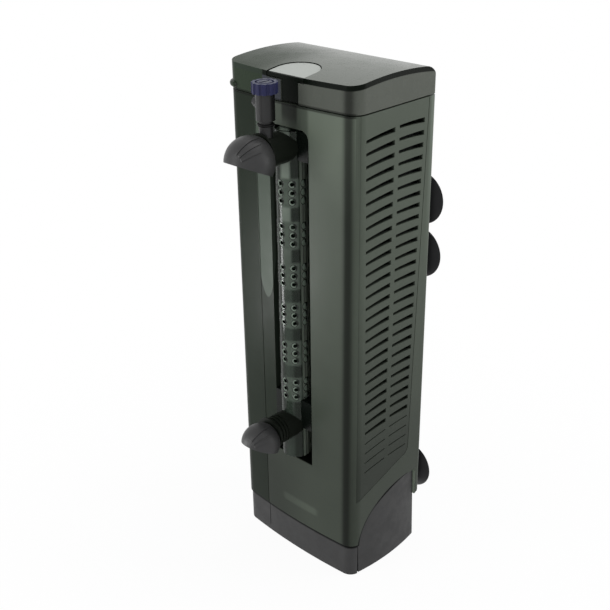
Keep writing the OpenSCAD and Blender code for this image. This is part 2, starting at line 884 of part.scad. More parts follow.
// A round bead that follows the left front corner of the lid
module finger_lip() {
    r = front_corner_r - 0.1;
    translate([-(half_w - front_corner_r), corner_y(), lid_low_z + lip_rise])
        rotate([0, 0, 184]) {
            rotate_extrude(angle = lip_angle)
                translate([r, 0])
                    circle(r = lip_r);
            for (a = [0, lip_angle])
                rotate([0, 0, a])
                    translate([r, 0, 0])
                        sphere(r = lip_r + 0.1);
        }
}

module lid() {
    color(PALE)
        difference() {
            union() {
                difference() {
                    union() {
                        lid_body(0, 0, lid_low_z);
                        finger_lip();
                    }
                    lid_body(wall, lid_top_t, lid_low_z - OVER);
                    upright(lid_top_z - lid_arch - lid_top_t - OVER, lid_top_z + OVER)
                        tab_outline(tab_gap);
                    box([tongue_x - tab_gap, front_y - OVER, lid_low_z - OVER],
                        [tongue_x + tongue_w + tab_gap, front_y + wall + OVER, lid_top_z]);
                }
                both_sides()
                    rod_x(tab_r + tab_gap, tab_r + tab_gap + 3, tab_pin_y, tab_pin_z, tab_boss_r);
                lid_knuckles();
            }
            both_sides()
                rod_x(tab_r, tab_r + tab_gap + 3 + OVER, tab_pin_y, tab_pin_z,
                      tab_pin_r + pin_gap);
            for (side = [-1, 1])
                rod_x(side * hinge_x - knuckle_l, side * hinge_x + knuckle_l, hinge_y, hinge_z,
                      hinge_pin_r + pin_gap);
        }
}

module lid_tab() {
    nose = neck_inset - neck_gap / 2 - tongue_t - tongue_sink;
    nose_h = 1.8;
    tongue_y = front_y + tongue_sink;
    tongue_low_z = lid_low_z + 0.7;
    pad_low_z = lid_top_z - lid_arch - tab_sink - tab_t;
    color(PALE) {
        difference() {
            union() {
                difference() {
                    intersection() {
                        upright(pad_low_z - OVER, lid_top_z)
                            intersection() {
                                tab_outline();
                                footprint(0.2);
                            }
                        along_x(-tab_r - OVER, tab_r + OVER)
                            lid_profile(0, tab_sink);
                    }
                    along_x(-tab_r - OVER, tab_r + OVER)
                        lid_profile(0, tab_sink + tab_t);
                }
                box([tongue_x, tongue_y, tongue_low_z],
                    [tongue_x + tongue_w, tongue_y + tongue_t, lid_top_z - lid_arch - tab_sink - 1]);
                box([tongue_x + 2, tongue_y + tongue_t - EPS, tongue_low_z],
                    [tongue_x + tongue_w - 2, tongue_y + tongue_t + nose, tongue_low_z + nose_h]);
                both_sides() {
                    box([tab_r - tab_lug_t, tab_pin_y - 2, tab_pin_z - 2],
                        [tab_r, tab_pin_y + 2, pad_low_z + 1.2]);
                    rod_x(tab_r - EPS, tab_r + tab_gap + 2.6, tab_pin_y, tab_pin_z, tab_pin_r);
                }
            }
        }
    }
}

module hinge_pins() {
    reach = knuckle_l / 2 + knuckle_gap + ear_l;
    color(STEEL)
        for (side = [-1, 1])
            rod_x(side * hinge_x - reach, side * hinge_x + reach, hinge_y, hinge_z, hinge_pin_r);
}

// ---------------------------------------------------------------- base

module base_outline(inset) {
    intersection() {
        footprint(inset);
        translate([-housing_w, front_y - OVER])
            square([2 * housing_w, base_back_y - inset + skirt_inset - front_y + OVER]);
    }
}

base_wall = 2.4;
post_x = 38;
post_front_y = front_y + 16;
post_back_y = base_back_y - 8;
post_r = 3.5;

module base() {
    inner = skirt_inset + base_wall;
    plate_x = cheek_x - base_wall;
    color(DARK)
        difference() {
            union() {
                difference() {
                    upright(0, base_seam_z)
                        base_outline(skirt_inset);
                    upright(-OVER, base_seam_z + OVER)
                        base_outline(inner);
                    both_sides()
                        box([cheek_x, cheek_y - cheek_gap, -OVER],
                            [half_w + OVER, back_y, base_seam_z + OVER]);
                }
                both_sides()
                    along_x(plate_x, cheek_x)
                        intersection() {
                            cheek_outline(-0.4);
                            translate([front_y, 0])
                                square([housing_d, cheek_h]);
                        }
                box([-plate_x, base_back_y - base_wall, 0],
                    [plate_x, base_back_y, cheek_h - 1.6]);
                for (x = [-post_x, post_x])
                    for (y = [post_front_y, post_back_y]) {
                        rod_z(x, y, cover_t, deck_z, post_r);
                        box([x > 0 ? x : -plate_x - EPS, y - 1, cover_t],
                            [x > 0 ? plate_x + EPS : x, y + 1, base_seam_z - 3]);
                    }
            }
            front_crease(5, base_seam_z + OVER, skirt_inset);
            upright(base_seam_z - seam_line, base_seam_z + OVER)
                difference() {
                    translate([-housing_w, front_y - OVER])
                        square([2 * housing_w, cheek_front]);
                    base_outline(skirt_inset + seam_line);
                }
            rod_y(-gland_x, base_back_y - base_wall - OVER, base_back_y + OVER, gland_z, gland_r);
            for (x = [-post_x, post_x])
                for (y = [post_front_y, post_back_y])
                    rod_z(x, y, cover_t - OVER, cover_t + 12, screw_r);
        }
}

module bottom_cover() {
    color(DARK)
        difference() {
            intersection() {
                upright(0, cover_t)
                    base_outline(skirt_inset + base_wall);
                box([-cheek_x + base_wall, front_y, 0],
                    [cheek_x - base_wall, base_back_y - base_wall, cover_t]);
            }
            for (x = [-post_x, post_x])
                for (y = [post_front_y, post_back_y]) {
                    rod_z(x, y, -OVER, cover_t + OVER, screw_r + 0.2);
                    rod_z(x, y, -OVER, 1.8, screw_head_r + 0.3);
                }
        }
}

module base_screws() {
    color(STEEL)
        for (x = [-post_x, post_x])
            for (y = [post_front_y, post_back_y])
                difference() {
                    union() {
                        rod_z(x, y, 0.3, 1.8, screw_head_r);
                        rod_z(x, y, 1.8 - EPS, cover_t + 10, screw_r);
                    }
                    translate([x, y, 0])
                        cube([0.9, screw_head_r * 1.3, 1.8], center = true);
                }
}

// A plate with an elliptical upper edge and a face bowed in plan and tilted
// outwards towards its foot
module cheek() {
    face_x = half_w + 0.2;
    color(DARK)
        intersection() {
            along_x(cheek_x, half_w + 6)
                intersection() {
                    cheek_outline();
                    translate([front_y, 0.6])
                        square([housing_d, cheek_h]);
                }
            translate([face_x, (cheek_y + cheek_back_y) / 2 + 2, cheek_h])
                rotate([0, -cheek_tilt, 0])
                    translate([-cheek_bow_r, 0, -cheek_h * 2])
                        cylinder(h = cheek_h * 3, r = cheek_bow_r, $fn = FINE);
        }
}

// ---------------------------------------------------------------- spray bar

module spray_bar() {
    color(CLEAR)
        difference() {
            union() {
                rod_z(0, bar_y, bar_low_z, bar_top_z, bar_r);
                for (z = [lower_z, upper_z])
                    rod_y(0, bar_y, pocket_back_y - 0.4, z, port_r);
            }
            rod_z(0, bar_y, bar_low_z - OVER, bar_top_z + OVER, bar_r - bar_wall);
            for (z = [lower_z, upper_z])
                rod_y(0, front_y - bar_r, pocket_back_y + OVER, z, port_r - bar_wall);
            for (group = [0 : jet_groups - 1])
                for (row = [0 : jet_rows - 1])
                    for (side = [-1, 0, 1])
                        translate([0, bar_y, recess_floor_z + jet_first
                                   + group * jet_group_pitch + (row - 1) * jet_pitch])
                            rotate([90, 0, side * jet_angle])
                                cylinder(h = bar_r + OVER, r = jet_r);
        }
}

module flow_sleeve() {
    z0 = lower_z + port_r + 2;
    z1 = upper_z - port_r - 2;
    color(CLEAR)
        difference() {
            rod_z(0, bar_y, z0, z1, sleeve_r);
            rod_z(0, bar_y, z0 - OVER, z1 + OVER, sleeve_r - sleeve_wall);
        }
    color(CLEAR)
        for (z = [z0, z1 - 2])
            difference() {
                rod_z(0, bar_y, z, z + 2, bar_r - bar_wall - 0.1);
                rod_z(0, bar_y, z - OVER, z + 2 + OVER, sleeve_r - EPS);
            }
}

module bar_cap(z0, up) {
    plug = 3;
    color(CLEAR) {
        rod_z(0, bar_y, up > 0 ? z0 : z0 - cap_t, up > 0 ? z0 + cap_t : z0, bar_r);
        difference() {
            rod_z(0, bar_y, up > 0 ? z0 - plug : z0 - EPS, up > 0 ? z0 + EPS : z0 + plug,
                  bar_r - bar_wall - 0.1);
            rod_z(0, bar_y, up > 0 ? z0 - plug - OVER : z0 + EPS,
                  up > 0 ? z0 - EPS : z0 + plug + OVER, bar_r - bar_wall - 1.6);
        }
    }
}

// A clip that holds the bar from behind and bears on the recess's back wall
module bar_clip(z0, h) {
    inner = bar_r + 0.12;
    color(BLACK)
        difference() {
            intersection() {
                upright(z0, z0 + h)
                    clip_outline(inner);
                recess_void(clip_gap);
            }
            for (z = [lower_z, upper_z]) {
                rod_y(0, bar_y, recess_back_y + OVER, z, port_r + port_gap);
                rod_y(0, front_y - bar_r, bar_y + hood_gap, z, collar_r + hood_gap);
            }
        }
}

// Clip seen from above: a ring open to the front, two wings that reach to the
// sides of the recess and a foot on its back wall
module clip_outline(inner) {
    wing_y = bar_y - bar_depth;
    difference() {
        union() {
            translate([0, bar_y])
                circle(r = inner + clip_t);
            translate([-4, bar_y])
                square([8, recess_back_y - bar_y]);
            translate([-recess_left, wing_y])
                square([recess_left + recess_right, bar_depth + 2]);
        }
        translate([0, bar_y])
            circle(r = inner);
        translate([-bar_r * 2, wing_y - bar_r * 2])
            square([bar_r * 4, bar_r * 2]);
        translate([-inner * 0.8, wing_y - OVER])
            square([inner * 1.6, bar_depth + OVER]);
    }
}

// ---------------------------------------------------------------- outlets

// A collar that saddles the front of the bar and carries the hood's spigot
module collar(z, flange_r, grooves) {
    color(BLACK)
        difference() {
            union() {
                rod_y(0, collar_y, bar_y, z, collar_r);
                rod_y(0, collar_y, collar_y + flange_t, z, flange_r);
                rod_y(0, collar_y - spigot_l, collar_y + EPS, z, spigot_r);
            }
            rod_z(0, bar_y, z - 2 * collar_r, z + 2 * collar_r, bar_r + 0.02);
            rod_y(0, collar_y - spigot_l - OVER, bar_y, z, spigot_bore_r);
            if (grooves > 0)
                for (i = [0 : grooves - 1])
                    translate([0, collar_y + flange_t + (i + 0.8) * groove_pitch, z])
                        rotate([-90, 0, 0])
                            difference() {
                                cylinder(h = collar_groove, r = collar_r + OVER);
                                cylinder(h = collar_groove, r = collar_r - collar_groove);
                            }
        }
}

module upper_collar() {
    color(BLACK)
        difference() {
            collar(upper_z, upper_flange_r, 0);
            rod_z(0, air_y, upper_z + spigot_bore_r - 1, upper_z + upper_flange_r + OVER,
                  air_neck_r + 0.1);
        }
}

// A ball-shaped hood whose mouth looks down and forwards, with a swivel ring
// inside its flat back
module hood(axis_z, r, mouth_drop) {
    z = axis_z - hood_sag;
    sleeve = spigot_r + pin_gap;
    reach = r + OVER;
    color(DARK)
        difference() {
            union() {
                intersection() {
                    difference() {
                        union() {
                            translate([0, hood_y, z])
                                sphere(r = r);
                            hood_ribs_on(z, r);
                        }
                        difference() {
                            translate([0, hood_y, z])
                                sphere(r = r - hood_wall);
                            box([-reach, hood_back_y - hood_wall, z - reach],
                                [reach, hood_back_y + reach, z + reach]);
                        }
                        translate([0, hood_y, z - mouth_drop])
                            rotate([-mouth_slope, 0, 0])
                                box([-2 * r, -3 * r, -3 * r], [2 * r, 3 * r, 0]);
                    }
                    box([-2 * r, hood_y - 2 * r, z - 2 * r], [2 * r, hood_back_y, z + 2 * r]);
                }
                rod_y(0, hood_back_y - spigot_l + 0.8, hood_back_y, axis_z, sleeve + ring_wall);
            }
            rod_y(0, hood_back_y - spigot_l + 0.8 - OVER, hood_back_y + OVER, axis_z, sleeve);
        }
}

module hood_ribs_on(z, r) {
    for (i = [0 : hood_ribs - 1])
        translate([0, hood_y, z])
            intersection() {
                sphere(r = r + rib_h);
                rotate([0, 18 + 17 * i, 0])
                    translate([-rib_w / 2, -r * 0.85, 0])
                        cube([rib_w, r * (1.0 - 0.15 * i), r + 1]);
            }
}

module air_tube() {
    stub_r = 2.5;
    boss_reach = air_barrel_r + 0.6;
    stub_reach = boss_reach + 2.6;
    stub_z = barrel_top_z - 6;
    color(DARK)
        difference() {
            union() {
                rod_z(0, air_y, upper_z + spigot_bore_r + 1.2, barrel_z + EPS, air_neck_r);
                rod_z(0, air_y, barrel_z, barrel_top_z, air_barrel_r);
                rod_x(-boss_reach, 0, air_y, stub_z, stub_r + 1.3);
                rod_x(-stub_reach, 0, air_y, stub_z, stub_r);
            }
            rod_z(0, air_y, upper_z, barrel_top_z + OVER, air_bore_r);
            rod_x(-stub_reach - OVER, 0, air_y, stub_z, 1.2);
            translate([0, air_y, barrel_z - 2.6])
                rotate_extrude()
                    translate([air_neck_r + 0.25, 0])
                        circle(r = ring_r);
        }
}

module air_ring() {
    color(BLACK)
        translate([0, air_y, barrel_z - 2.6])
            rotate_extrude()
                translate([air_neck_r + 0.3, 0])
                    circle(r = ring_r - 0.1);
}

module air_knob() {
    color(BLUE) {
        difference() {
            rod_z(0, air_y, knob_z, knob_z + knob_h, knob_r);
            for (i = [0 : knob_flutes - 1])
                rotate_about_air(i * 360 / knob_flutes)
                    rod_z(knob_r + flute_r * 0.35, air_y, knob_z - OVER, knob_z + knob_h + OVER,
                          flute_r);
            difference() {
                rod_z(0, air_y, knob_z + knob_h - 0.8, knob_z + knob_h + OVER, knob_r - 2.2);
                rod_z(0, air_y, knob_z + knob_h - 0.8, knob_z + knob_h + OVER, knob_r - 3.4);
            }
            translate([0, air_y, knob_z + knob_h])
                cube([1.2, knob_r, 1.4], center = true);
        }
        rod_z(0, air_y, knob_z - knob_stem_l, knob_z + EPS, knob_stem_r);
    }
}

module rotate_about_air(angle) {
    translate([0, air_y, 0])
        rotate([0, 0, angle])
            translate([0, -air_y, 0])
                children();
}

// ---------------------------------------------------------------- pump

module riser_outline(inset) {
    translate([-riser_w / 2 - riser_wall + inset, riser_y + inset])
        square([riser_w + 2 * (riser_wall - inset), riser_d + 2 * (riser_wall - inset)]);
}

module riser_duct() {
    color(GREEN)
        difference() {
            upright(riser_low_z, riser_top_z)
                riser_outline(0);
            upright(riser_low_z - OVER, riser_top_z - riser_wall)
                riser_outline(riser_wall);
            for (z = [lower_z, upper_z])
                rod_y(0, riser_y - OVER, riser_y + riser_wall + OVER, z, port_r - bar_wall);
        }
}

module pump_deck() {
    pitch = 6;
    bars = floor((half_w - media_inset - rear_corner_r) / pitch) - 1;
    color(DARK)
        difference() {
            upright(deck_z, deck_top_z)
                footprint(media_inset);
            upright(deck_z - OVER, deck_top_z + OVER)
                riser_outline(-0.3);
            for (i = [-bars : bars])
                box([i * pitch - 1.6, riser_back_y + 5, deck_z - OVER],
                    [i * pitch + 1.6, media_back_y - 7, deck_top_z + OVER]);
        }
}

module motor_block() {
    r = 6;
    color(BLACK)
        difference() {
            union() {
                box([-motor_w / 2, pump_y - motor_d / 2 + r, motor_z],
                    [motor_w / 2, pump_y + motor_d / 2 - r, motor_top_z]);
                box([-motor_w / 2 + r, pump_y - motor_d / 2, motor_z],
                    [motor_w / 2 - r, pump_y + motor_d / 2, motor_top_z]);
                for (x = [-motor_w / 2 + r, motor_w / 2 - r])
                    for (y = [pump_y - motor_d / 2 + r, pump_y + motor_d / 2 - r])
                        rod_z(x, y, motor_z, motor_top_z, r);
            }
            rod_z(0, pump_y, well_floor_z, motor_top_z + OVER, well_r);
        }
}

module impeller() {
    magnet_z = well_floor_z + 4;
    hub_r = 4;
    color(STONE)
        difference() {
            union() {
                rod_z(0, pump_y, magnet_z, chamber_z - 0.6, well_r - rotor_gap);
                rod_z(0, pump_y, chamber_z - 0.6 - EPS, blade_z + blade_h, hub_r);
                rod_z(0, pump_y, blade_z, blade_z + 1.4, blade_r - 3);
                for (i = [0 : blades - 1])
                    translate([0, pump_y, blade_z])
                        rotate([0, 0, i * 360 / blades])
                            translate([0, -0.7, 0])
                                cube([blade_r, 1.4, blade_h]);
            }
            rod_z(0, pump_y, magnet_z - OVER, chamber_top_z, shaft_r + pin_gap);
        }
}

module impeller_shaft() {
    color(STEEL)
        rod_z(0, pump_y, well_floor_z + 0.6, chamber_top_z + 2.2, shaft_r);
}

module shaft_bush(z0) {
    difference() {
        rod_z(0, pump_y, z0, z0 + bush_r, bush_r);
        rod_z(0, pump_y, z0 - OVER, z0 + bush_r + OVER, shaft_r + 0.02);
    }
}

module shaft_bushes() {
    color(BLACK) {
        shaft_bush(well_floor_z);
        shaft_bush(chamber_top_z - 0.6);
    }
}

module volute() {
    outer = chamber_r + chamber_wall;
    roof = chamber_top_z + chamber_wall;
    color(DARK)
        difference() {
            union() {
                rod_z(0, pump_y, chamber_z, roof, outer);
                box([-riser_w / 2 - riser_wall, riser_y, chamber_z],
                    [riser_w / 2 + riser_wall, pump_y, roof]);
                upright(roof - EPS, deck_top_z)
                    riser_outline(0);
            }
            rod_z(0, pump_y, chamber_z - OVER, chamber_top_z, chamber_r);
            box([-riser_w / 2, riser_y + riser_wall, chamber_z + chamber_wall],
                [riser_w / 2, pump_y - chamber_r + 4, chamber_top_z]);
            upright(chamber_top_z - OVER, deck_top_z + OVER)
                riser_outline(riser_wall);
            difference() {
                rod_z(0, pump_y, chamber_top_z - OVER, roof + OVER, eye_r);
                for (i = [0 : 2])
                    translate([0, pump_y, chamber_top_z])
                        rotate([0, 0, 30 + i * 120])
                            translate([0, -0.9, 0])
                                cube([eye_r + 1, 1.8, chamber_wall]);
                rod_z(0, pump_y, chamber_top_z - OVER, roof + OVER, bush_r + 1.2);
            }
            rod_z(0, pump_y, chamber_top_z - OVER, roof + OVER, bush_r + 0.05);
        }
}

module cord_gland() {
    color(BLACK)
        difference() {
            union() {
                rod_y(-gland_x, base_back_y - base_wall - 0.3, base_back_y + 0.1, gland_z,
                      gland_r - 0.2);
                rod_y(-gland_x, base_back_y + 0.1 - EPS, base_back_y + 3, gland_z, gland_r + 1);
            }
            rod_y(-gland_x, base_back_y + 1, base_back_y + 3 + OVER, gland_z, cord_r);
        }
}

// ---------------------------------------------------------------- media

module foam_pad() {
    color(FOAM)
        box([foam_in_x, foam_front_y, media_z], [foam_out_x, media_back_y, media_top_z]);
}

module foam_carrier() {
    edge = 5;
    step = basket_pitch;
    rows = floor((media_h - 2 * edge) / step);
    color(DARK)
        difference() {
            box([carrier_in_x, foam_front_y, media_z],
                [carrier_in_x + carrier_t, media_back_y, media_top_z]);
            along_x(carrier_in_x - OVER, carrier_in_x + carrier_t + OVER)
                for (i = [0 : rows - 1])
                    translate([foam_front_y + edge, media_z + edge + i * step])
                        square([media_back_y - foam_front_y - 2 * edge, step - 3]);
        }
}

module media_basket() {
    t = basket_wall;
    rows = floor((media_h - 24) / basket_pitch);
    color(DARK)
        difference() {
            box([-basket_half, basket_front_y, media_z], [basket_half, media_back_y, media_top_z]);
            box([-basket_half + t, basket_front_y + t, media_z + t],
                [basket_half - t, media_back_y - t, media_top_z + OVER]);
            along_x(-basket_half - OVER, basket_half + OVER)
                for (i = [0 : rows - 1])
                    translate([basket_front_y + 5, media_z + 8 + i * basket_pitch])
                        square([media_back_y - basket_front_y - 10, basket_slot]);
            for (i = [-3 : 3])
                box([i * 6 - basket_slot / 2, basket_front_y + 5, media_z - OVER],
                    [i * 6 + basket_slot / 2, media_back_y - 5, media_z + t + OVER]);
            rod_x(-basket_half - OVER, basket_half + OVER, handle_y, handle_z,
                  handle_r - 0.3 + pin_gap);
        }
}

module bio_media() {
    gap = basket_wall + 0.3;
    color(STONE)
        box([-basket_half + gap, basket_front_y + gap, media_z + gap],
            [basket_half - gap, media_back_y - gap, media_top_z - 12]);
}

module basket_handle() {
    lift = media_top_z + handle_r + 0.4;
    reach_y = handle_y + handle_reach;
    pin_r = handle_r - 0.3;
    color(DARK) {
        both_sides() {
            rod_x(basket_half - basket_wall, handle_x, handle_y, handle_z, pin_r);
            rod_z(handle_x, handle_y, handle_z - handle_r, lift, handle_r);
            rod_y(handle_x, handle_y, reach_y, lift, handle_r);
            translate([handle_x, handle_y, lift])
                sphere(r = handle_r);
            translate([handle_x, reach_y, lift])
                sphere(r = handle_r);
        }
        rod_x(-handle_x, handle_x, reach_y, lift, handle_r);
    }
}

// ---------------------------------------------------------------- bracket

module rear_bracket() {
    hook_in = rail_head / 2 + rail_gap;
    hook_t = 2.2;
    lip_y0 = back_y + rail_gap;
    z1 = bracket_z + bracket_h;
    color(DARK)
        difference() {
            union() {
                box([-bracket_w / 2, plate_y, bracket_z], [bracket_w / 2, cup_y, z1]);
                for (x = [-rail_x, rail_x])
                    box([x - hook_in, lip_y0, bracket_z],
                        [x + hook_in, plate_y + EPS, rail_z0 - rail_gap]);
                for (x = [-rail_x, rail_x])
                    for (side = [-1, 1]) {
                        wall_x0 = x + (side > 0 ? hook_in : -hook_in - hook_t);
                        lip_x0 = x + (side > 0 ? rail_stem / 2 + rail_gap : -hook_in);
                        box([wall_x0, lip_y0, bracket_z], [wall_x0 + hook_t, plate_y + EPS, z1]);
                        box([lip_x0, lip_y0, bracket_z],
                            [lip_x0 + hook_in - rail_stem / 2 - rail_gap,
                             lip_y0 + rail_t, z1]);
                    }
            }
            for (x = [-cup_x, cup_x])
                for (z = [cup_z, cup_z + cup_pitch])
                    rod_y(x, plate_y - OVER, cup_y + OVER, z, cup_neck_r + rail_gap);
        }
}

// A moulded suction cup: button head, neck through the plate, and a domed skirt
module suction_cup(x, z) {
    skirt_y = cup_y + cup_h;
    dome_r = (pow(cup_r, 2) + pow(cup_h - 1, 2)) / (2 * (cup_h - 1));
    hollow = 3.4;
    hollow_r = (pow(cup_r - 1, 2) + pow(hollow, 2)) / (2 * hollow);
    color(BLACK)
        translate([x, 0, z])
            rotate([-90, 0, 0])
                rotate_extrude() {
                    translate([0, plate_y - 0.2 - cup_head_t])
                        square([cup_head_r, cup_head_t]);
                    translate([0, plate_y - 0.2 - EPS])
                        square([cup_neck_r, cup_y + 2 - plate_y]);
                    difference() {
                        intersection() {
                            translate([0, cup_y + 1 + dome_r])
                                circle(r = dome_r, $fn = FINE);
                            translate([0, cup_y + 0.6])
                                square([cup_r, skirt_y - cup_y - 0.6]);
                        }
                        translate([0, skirt_y - hollow + hollow_r])
                            circle(r = hollow_r, $fn = FINE);
                    }
                }
}

module mirrored() {
    mirror([1, 0, 0])
        children();
}

housing();
mirrored() louvre_panel();  // louvre_panel_left
louvre_panel();  // louvre_panel_right
lid();
lid_tab();
hinge_pins();
base();
bottom_cover();
mirrored() cheek();  // cheek_left
cheek();  // cheek_right
base_screws();
spray_bar();
flow_sleeve();
bar_cap(bar_top_z, 1);  // bar_cap_upper
bar_cap(bar_low_z, -1);  // bar_cap_lower
bar_clip(recess_top_z - clip_high - clip_h, clip_h);  // bar_clip_upper
bar_clip(recess_floor_z + clip_low, low_clip_h);  // bar_clip_lower
upper_collar();
collar(lower_z, lower_flange_r, collar_grooves);  // lower_collar
hood(upper_z, upper_hood_r, upper_mouth_drop);  // upper_hood
hood(lower_z, lower_hood_r, lower_mouth_drop);  // lower_hood
air_tube();
air_ring();
air_knob();
riser_duct();
pump_deck();
motor_block();
impeller();
impeller_shaft();
shaft_bushes();
volute();
cord_gland();
mirrored() foam_pad();  // foam_left
foam_pad();  // foam_right
mirrored() foam_carrier();  // foam_carrier_left
foam_carrier();  // foam_carrier_right
media_basket();
bio_media();
basket_handle();
rear_bracket();
suction_cup(-cup_x, cup_z + cup_pitch);  // cup_1
suction_cup(cup_x, cup_z + cup_pitch);  // cup_2
suction_cup(-cup_x, cup_z);  // cup_3
suction_cup(cup_x, cup_z);  // cup_4
suction_cup(-cup_x, low_cup_z);  // cup_5
suction_cup(cup_x, low_cup_z);  // cup_6
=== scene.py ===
import math
import random

import bmesh
import bpy
from mathutils import Euler, Matrix, Vector, noise


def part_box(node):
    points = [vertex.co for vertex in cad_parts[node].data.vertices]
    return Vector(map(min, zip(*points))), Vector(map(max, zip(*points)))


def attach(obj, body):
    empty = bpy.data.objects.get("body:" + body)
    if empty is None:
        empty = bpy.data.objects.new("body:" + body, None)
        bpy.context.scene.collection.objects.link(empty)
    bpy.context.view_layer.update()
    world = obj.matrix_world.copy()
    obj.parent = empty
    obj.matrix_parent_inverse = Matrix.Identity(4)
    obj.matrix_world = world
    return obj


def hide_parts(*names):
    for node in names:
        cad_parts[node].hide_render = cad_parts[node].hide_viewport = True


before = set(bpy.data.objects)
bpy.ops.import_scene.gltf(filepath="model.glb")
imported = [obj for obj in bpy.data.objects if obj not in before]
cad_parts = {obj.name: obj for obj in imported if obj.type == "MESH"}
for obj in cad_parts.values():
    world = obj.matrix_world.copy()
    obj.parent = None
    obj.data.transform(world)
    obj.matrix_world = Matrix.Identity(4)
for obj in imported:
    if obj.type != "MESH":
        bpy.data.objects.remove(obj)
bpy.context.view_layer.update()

# ---- Camera, floor and studio light ---------------------------------------
# A long lens looks down on the filter's front right corner. The floor is pale
# card that reads as white, and soft boxes stand overhead and at both sides.
MM = 0.001
yaw, pitch, roll = 0.777, 0.458, -0.0146
look = Vector((-math.sin(yaw) * math.cos(pitch), math.cos(yaw) * math.cos(pitch), -math.sin(pitch)))
level_right = look.cross(Vector((0, 0, 1))).normalized()
level_up = level_right.cross(look)
cam_right = math.cos(roll) * level_right + math.sin(roll) * level_up
cam_up = -math.sin(roll) * level_right + math.cos(roll) * level_up
camera = bpy.data.objects.new("camera", bpy.data.cameras.new("camera"))
camera.data.sensor_width = 36
camera.data.lens = 988 / 610 * 36
camera.data.clip_start = 0.01
camera.matrix_world = (
    Matrix.Translation(Vector((409.1, -439.8, 480.3)) * MM)
    @ Matrix((cam_right, cam_up, -look)).transposed().to_4x4()
)
bpy.context.scene.collection.objects.link(camera)
bpy.context.scene.camera = camera
bpy.context.scene.view_settings.view_transform = "Standard"


def show_white(tree, lit, output, share=1.0):
    """Makes what is seen straight on, in gloss or through glass plain white.

    The light that falls on the object isn't touched.
    """
    path = tree.nodes.new("ShaderNodeLightPath")
    seen = path.outputs["Is Camera Ray"]
    for kind in ("Is Glossy Ray", "Is Transmission Ray"):
        either = tree.nodes.new("ShaderNodeMath")
        either.operation = "MAXIMUM"
        tree.links.new(seen, either.inputs[0])
        tree.links.new(path.outputs[kind], either.inputs[1])
        seen = either.outputs[0]
    part = tree.nodes.new("ShaderNodeMath")
    part.operation = "MULTIPLY"
    tree.links.new(seen, part.inputs[0])
    if isinstance(share, bpy.types.NodeSocket):
        tree.links.new(share, part.inputs[1])
    else:
        part.inputs[1].default_value = share
    white = tree.nodes.new("ShaderNodeEmission")
    mix = tree.nodes.new("ShaderNodeMixShader")
    tree.links.new(part.outputs[0], mix.inputs[0])
    tree.links.new(lit, mix.inputs[1])
    tree.links.new(white.outputs[0], mix.inputs[2])
    tree.links.new(mix.outputs[0], output.inputs["Surface"])


world = bpy.data.worlds.new("studio")
bpy.context.scene.world = world
world.use_nodes = True
sky = world.node_tree.nodes["Background"]
sky.inputs["Color"].default_value = (0.97, 0.98, 1, 1)
sky.inputs["Strength"].default_value = 0.55
show_white(world.node_tree, sky.outputs[0], world.node_tree.nodes["World Output"])

bm = bmesh.new()
bmesh.ops.create_grid(bm, x_segments=2, y_segments=2, size=2.5)
floor_mesh = bpy.data.meshes.new("floor")
bm.to_mesh(floor_mesh)
bm.free()
floor = bpy.data.objects.new("floor", floor_mesh)
floor.location = (0, 0, -0.5 * MM)
bpy.context.scene.collection.objects.link(floor)
card = bpy.data.materials.new("pale_card")
card.use_nodes = True
card_shader = card.node_tree.nodes["Principled BSDF"]
card_shader.inputs["Base Color"].default_value = (0.93, 0.93, 0.93, 1)
card_shader.inputs["Roughness"].default_value = 0.9
card_shader.inputs["Specular IOR Level"].default_value = 0.1
card_place = card.node_tree.nodes.new("ShaderNodeTexCoord")
from_filter = card.node_tree.nodes.new("ShaderNodeVectorMath")
from_filter.operation = "LENGTH"
card.node_tree.links.new(card_place.outputs["Object"], from_filter.inputs[0])
fade = card.node_tree.nodes.new("ShaderNodeMapRange")
fade.interpolation_type = "SMOOTHSTEP"
for key, value in (("From Min", 0.10), ("From Max", 0.42), ("To Min", 0.95), ("To Max", 1.0)):
    fade.inputs[key].default_value = value
card.node_tree.links.new(from_filter.outputs["Value"], fade.inputs["Value"])
show_white(card.node_tree, card_shader.outputs[0], card.node_tree.nodes["Material Output"], fade.outputs[0])
floor_mesh.materials.append(card)


def lamp(name, at, aim, size, watts, lights_up=True):
    light = bpy.data.lights.new(name, "AREA")
    light.shape = "RECTANGLE"
    light.size, light.size_y = size
    light.energy = watts
    lamp_object = bpy.data.objects.new(name, light)
    lamp_object.location = at
    lamp_object.rotation_euler = (Vector(aim) - Vector(at)).to_track_quat("-Z", "Y").to_euler()
    lamp_object.visible_camera = False
    lamp_object.visible_diffuse = lights_up
    bpy.context.scene.collection.objects.link(lamp_object)


lamp("overhead", (0.1, 0.3, 1.5), (0, 0, 0.2), (1.0, 0.8), 5.5)
lamp("left_box", (-0.62, -1.36, 0.6), (0, 0, 0.17), (0.5, 1.2), 7.5)
lamp("right_box", (1.1, 1.0, 0.6), (0, 0, 0.17), (0.5, 1.2), 8.5)
lamp("low_strip", (-0.255, -0.288, 0.07), (0, -0.04, 0.2), (0.13, 0.13), 0.55, False)

# ---- Housing and louvre panels ---------------------------------------------
# One tall injection moulding in smoked grey-green plastic with a satin skin.
# The louvred panels snap into its two sides.


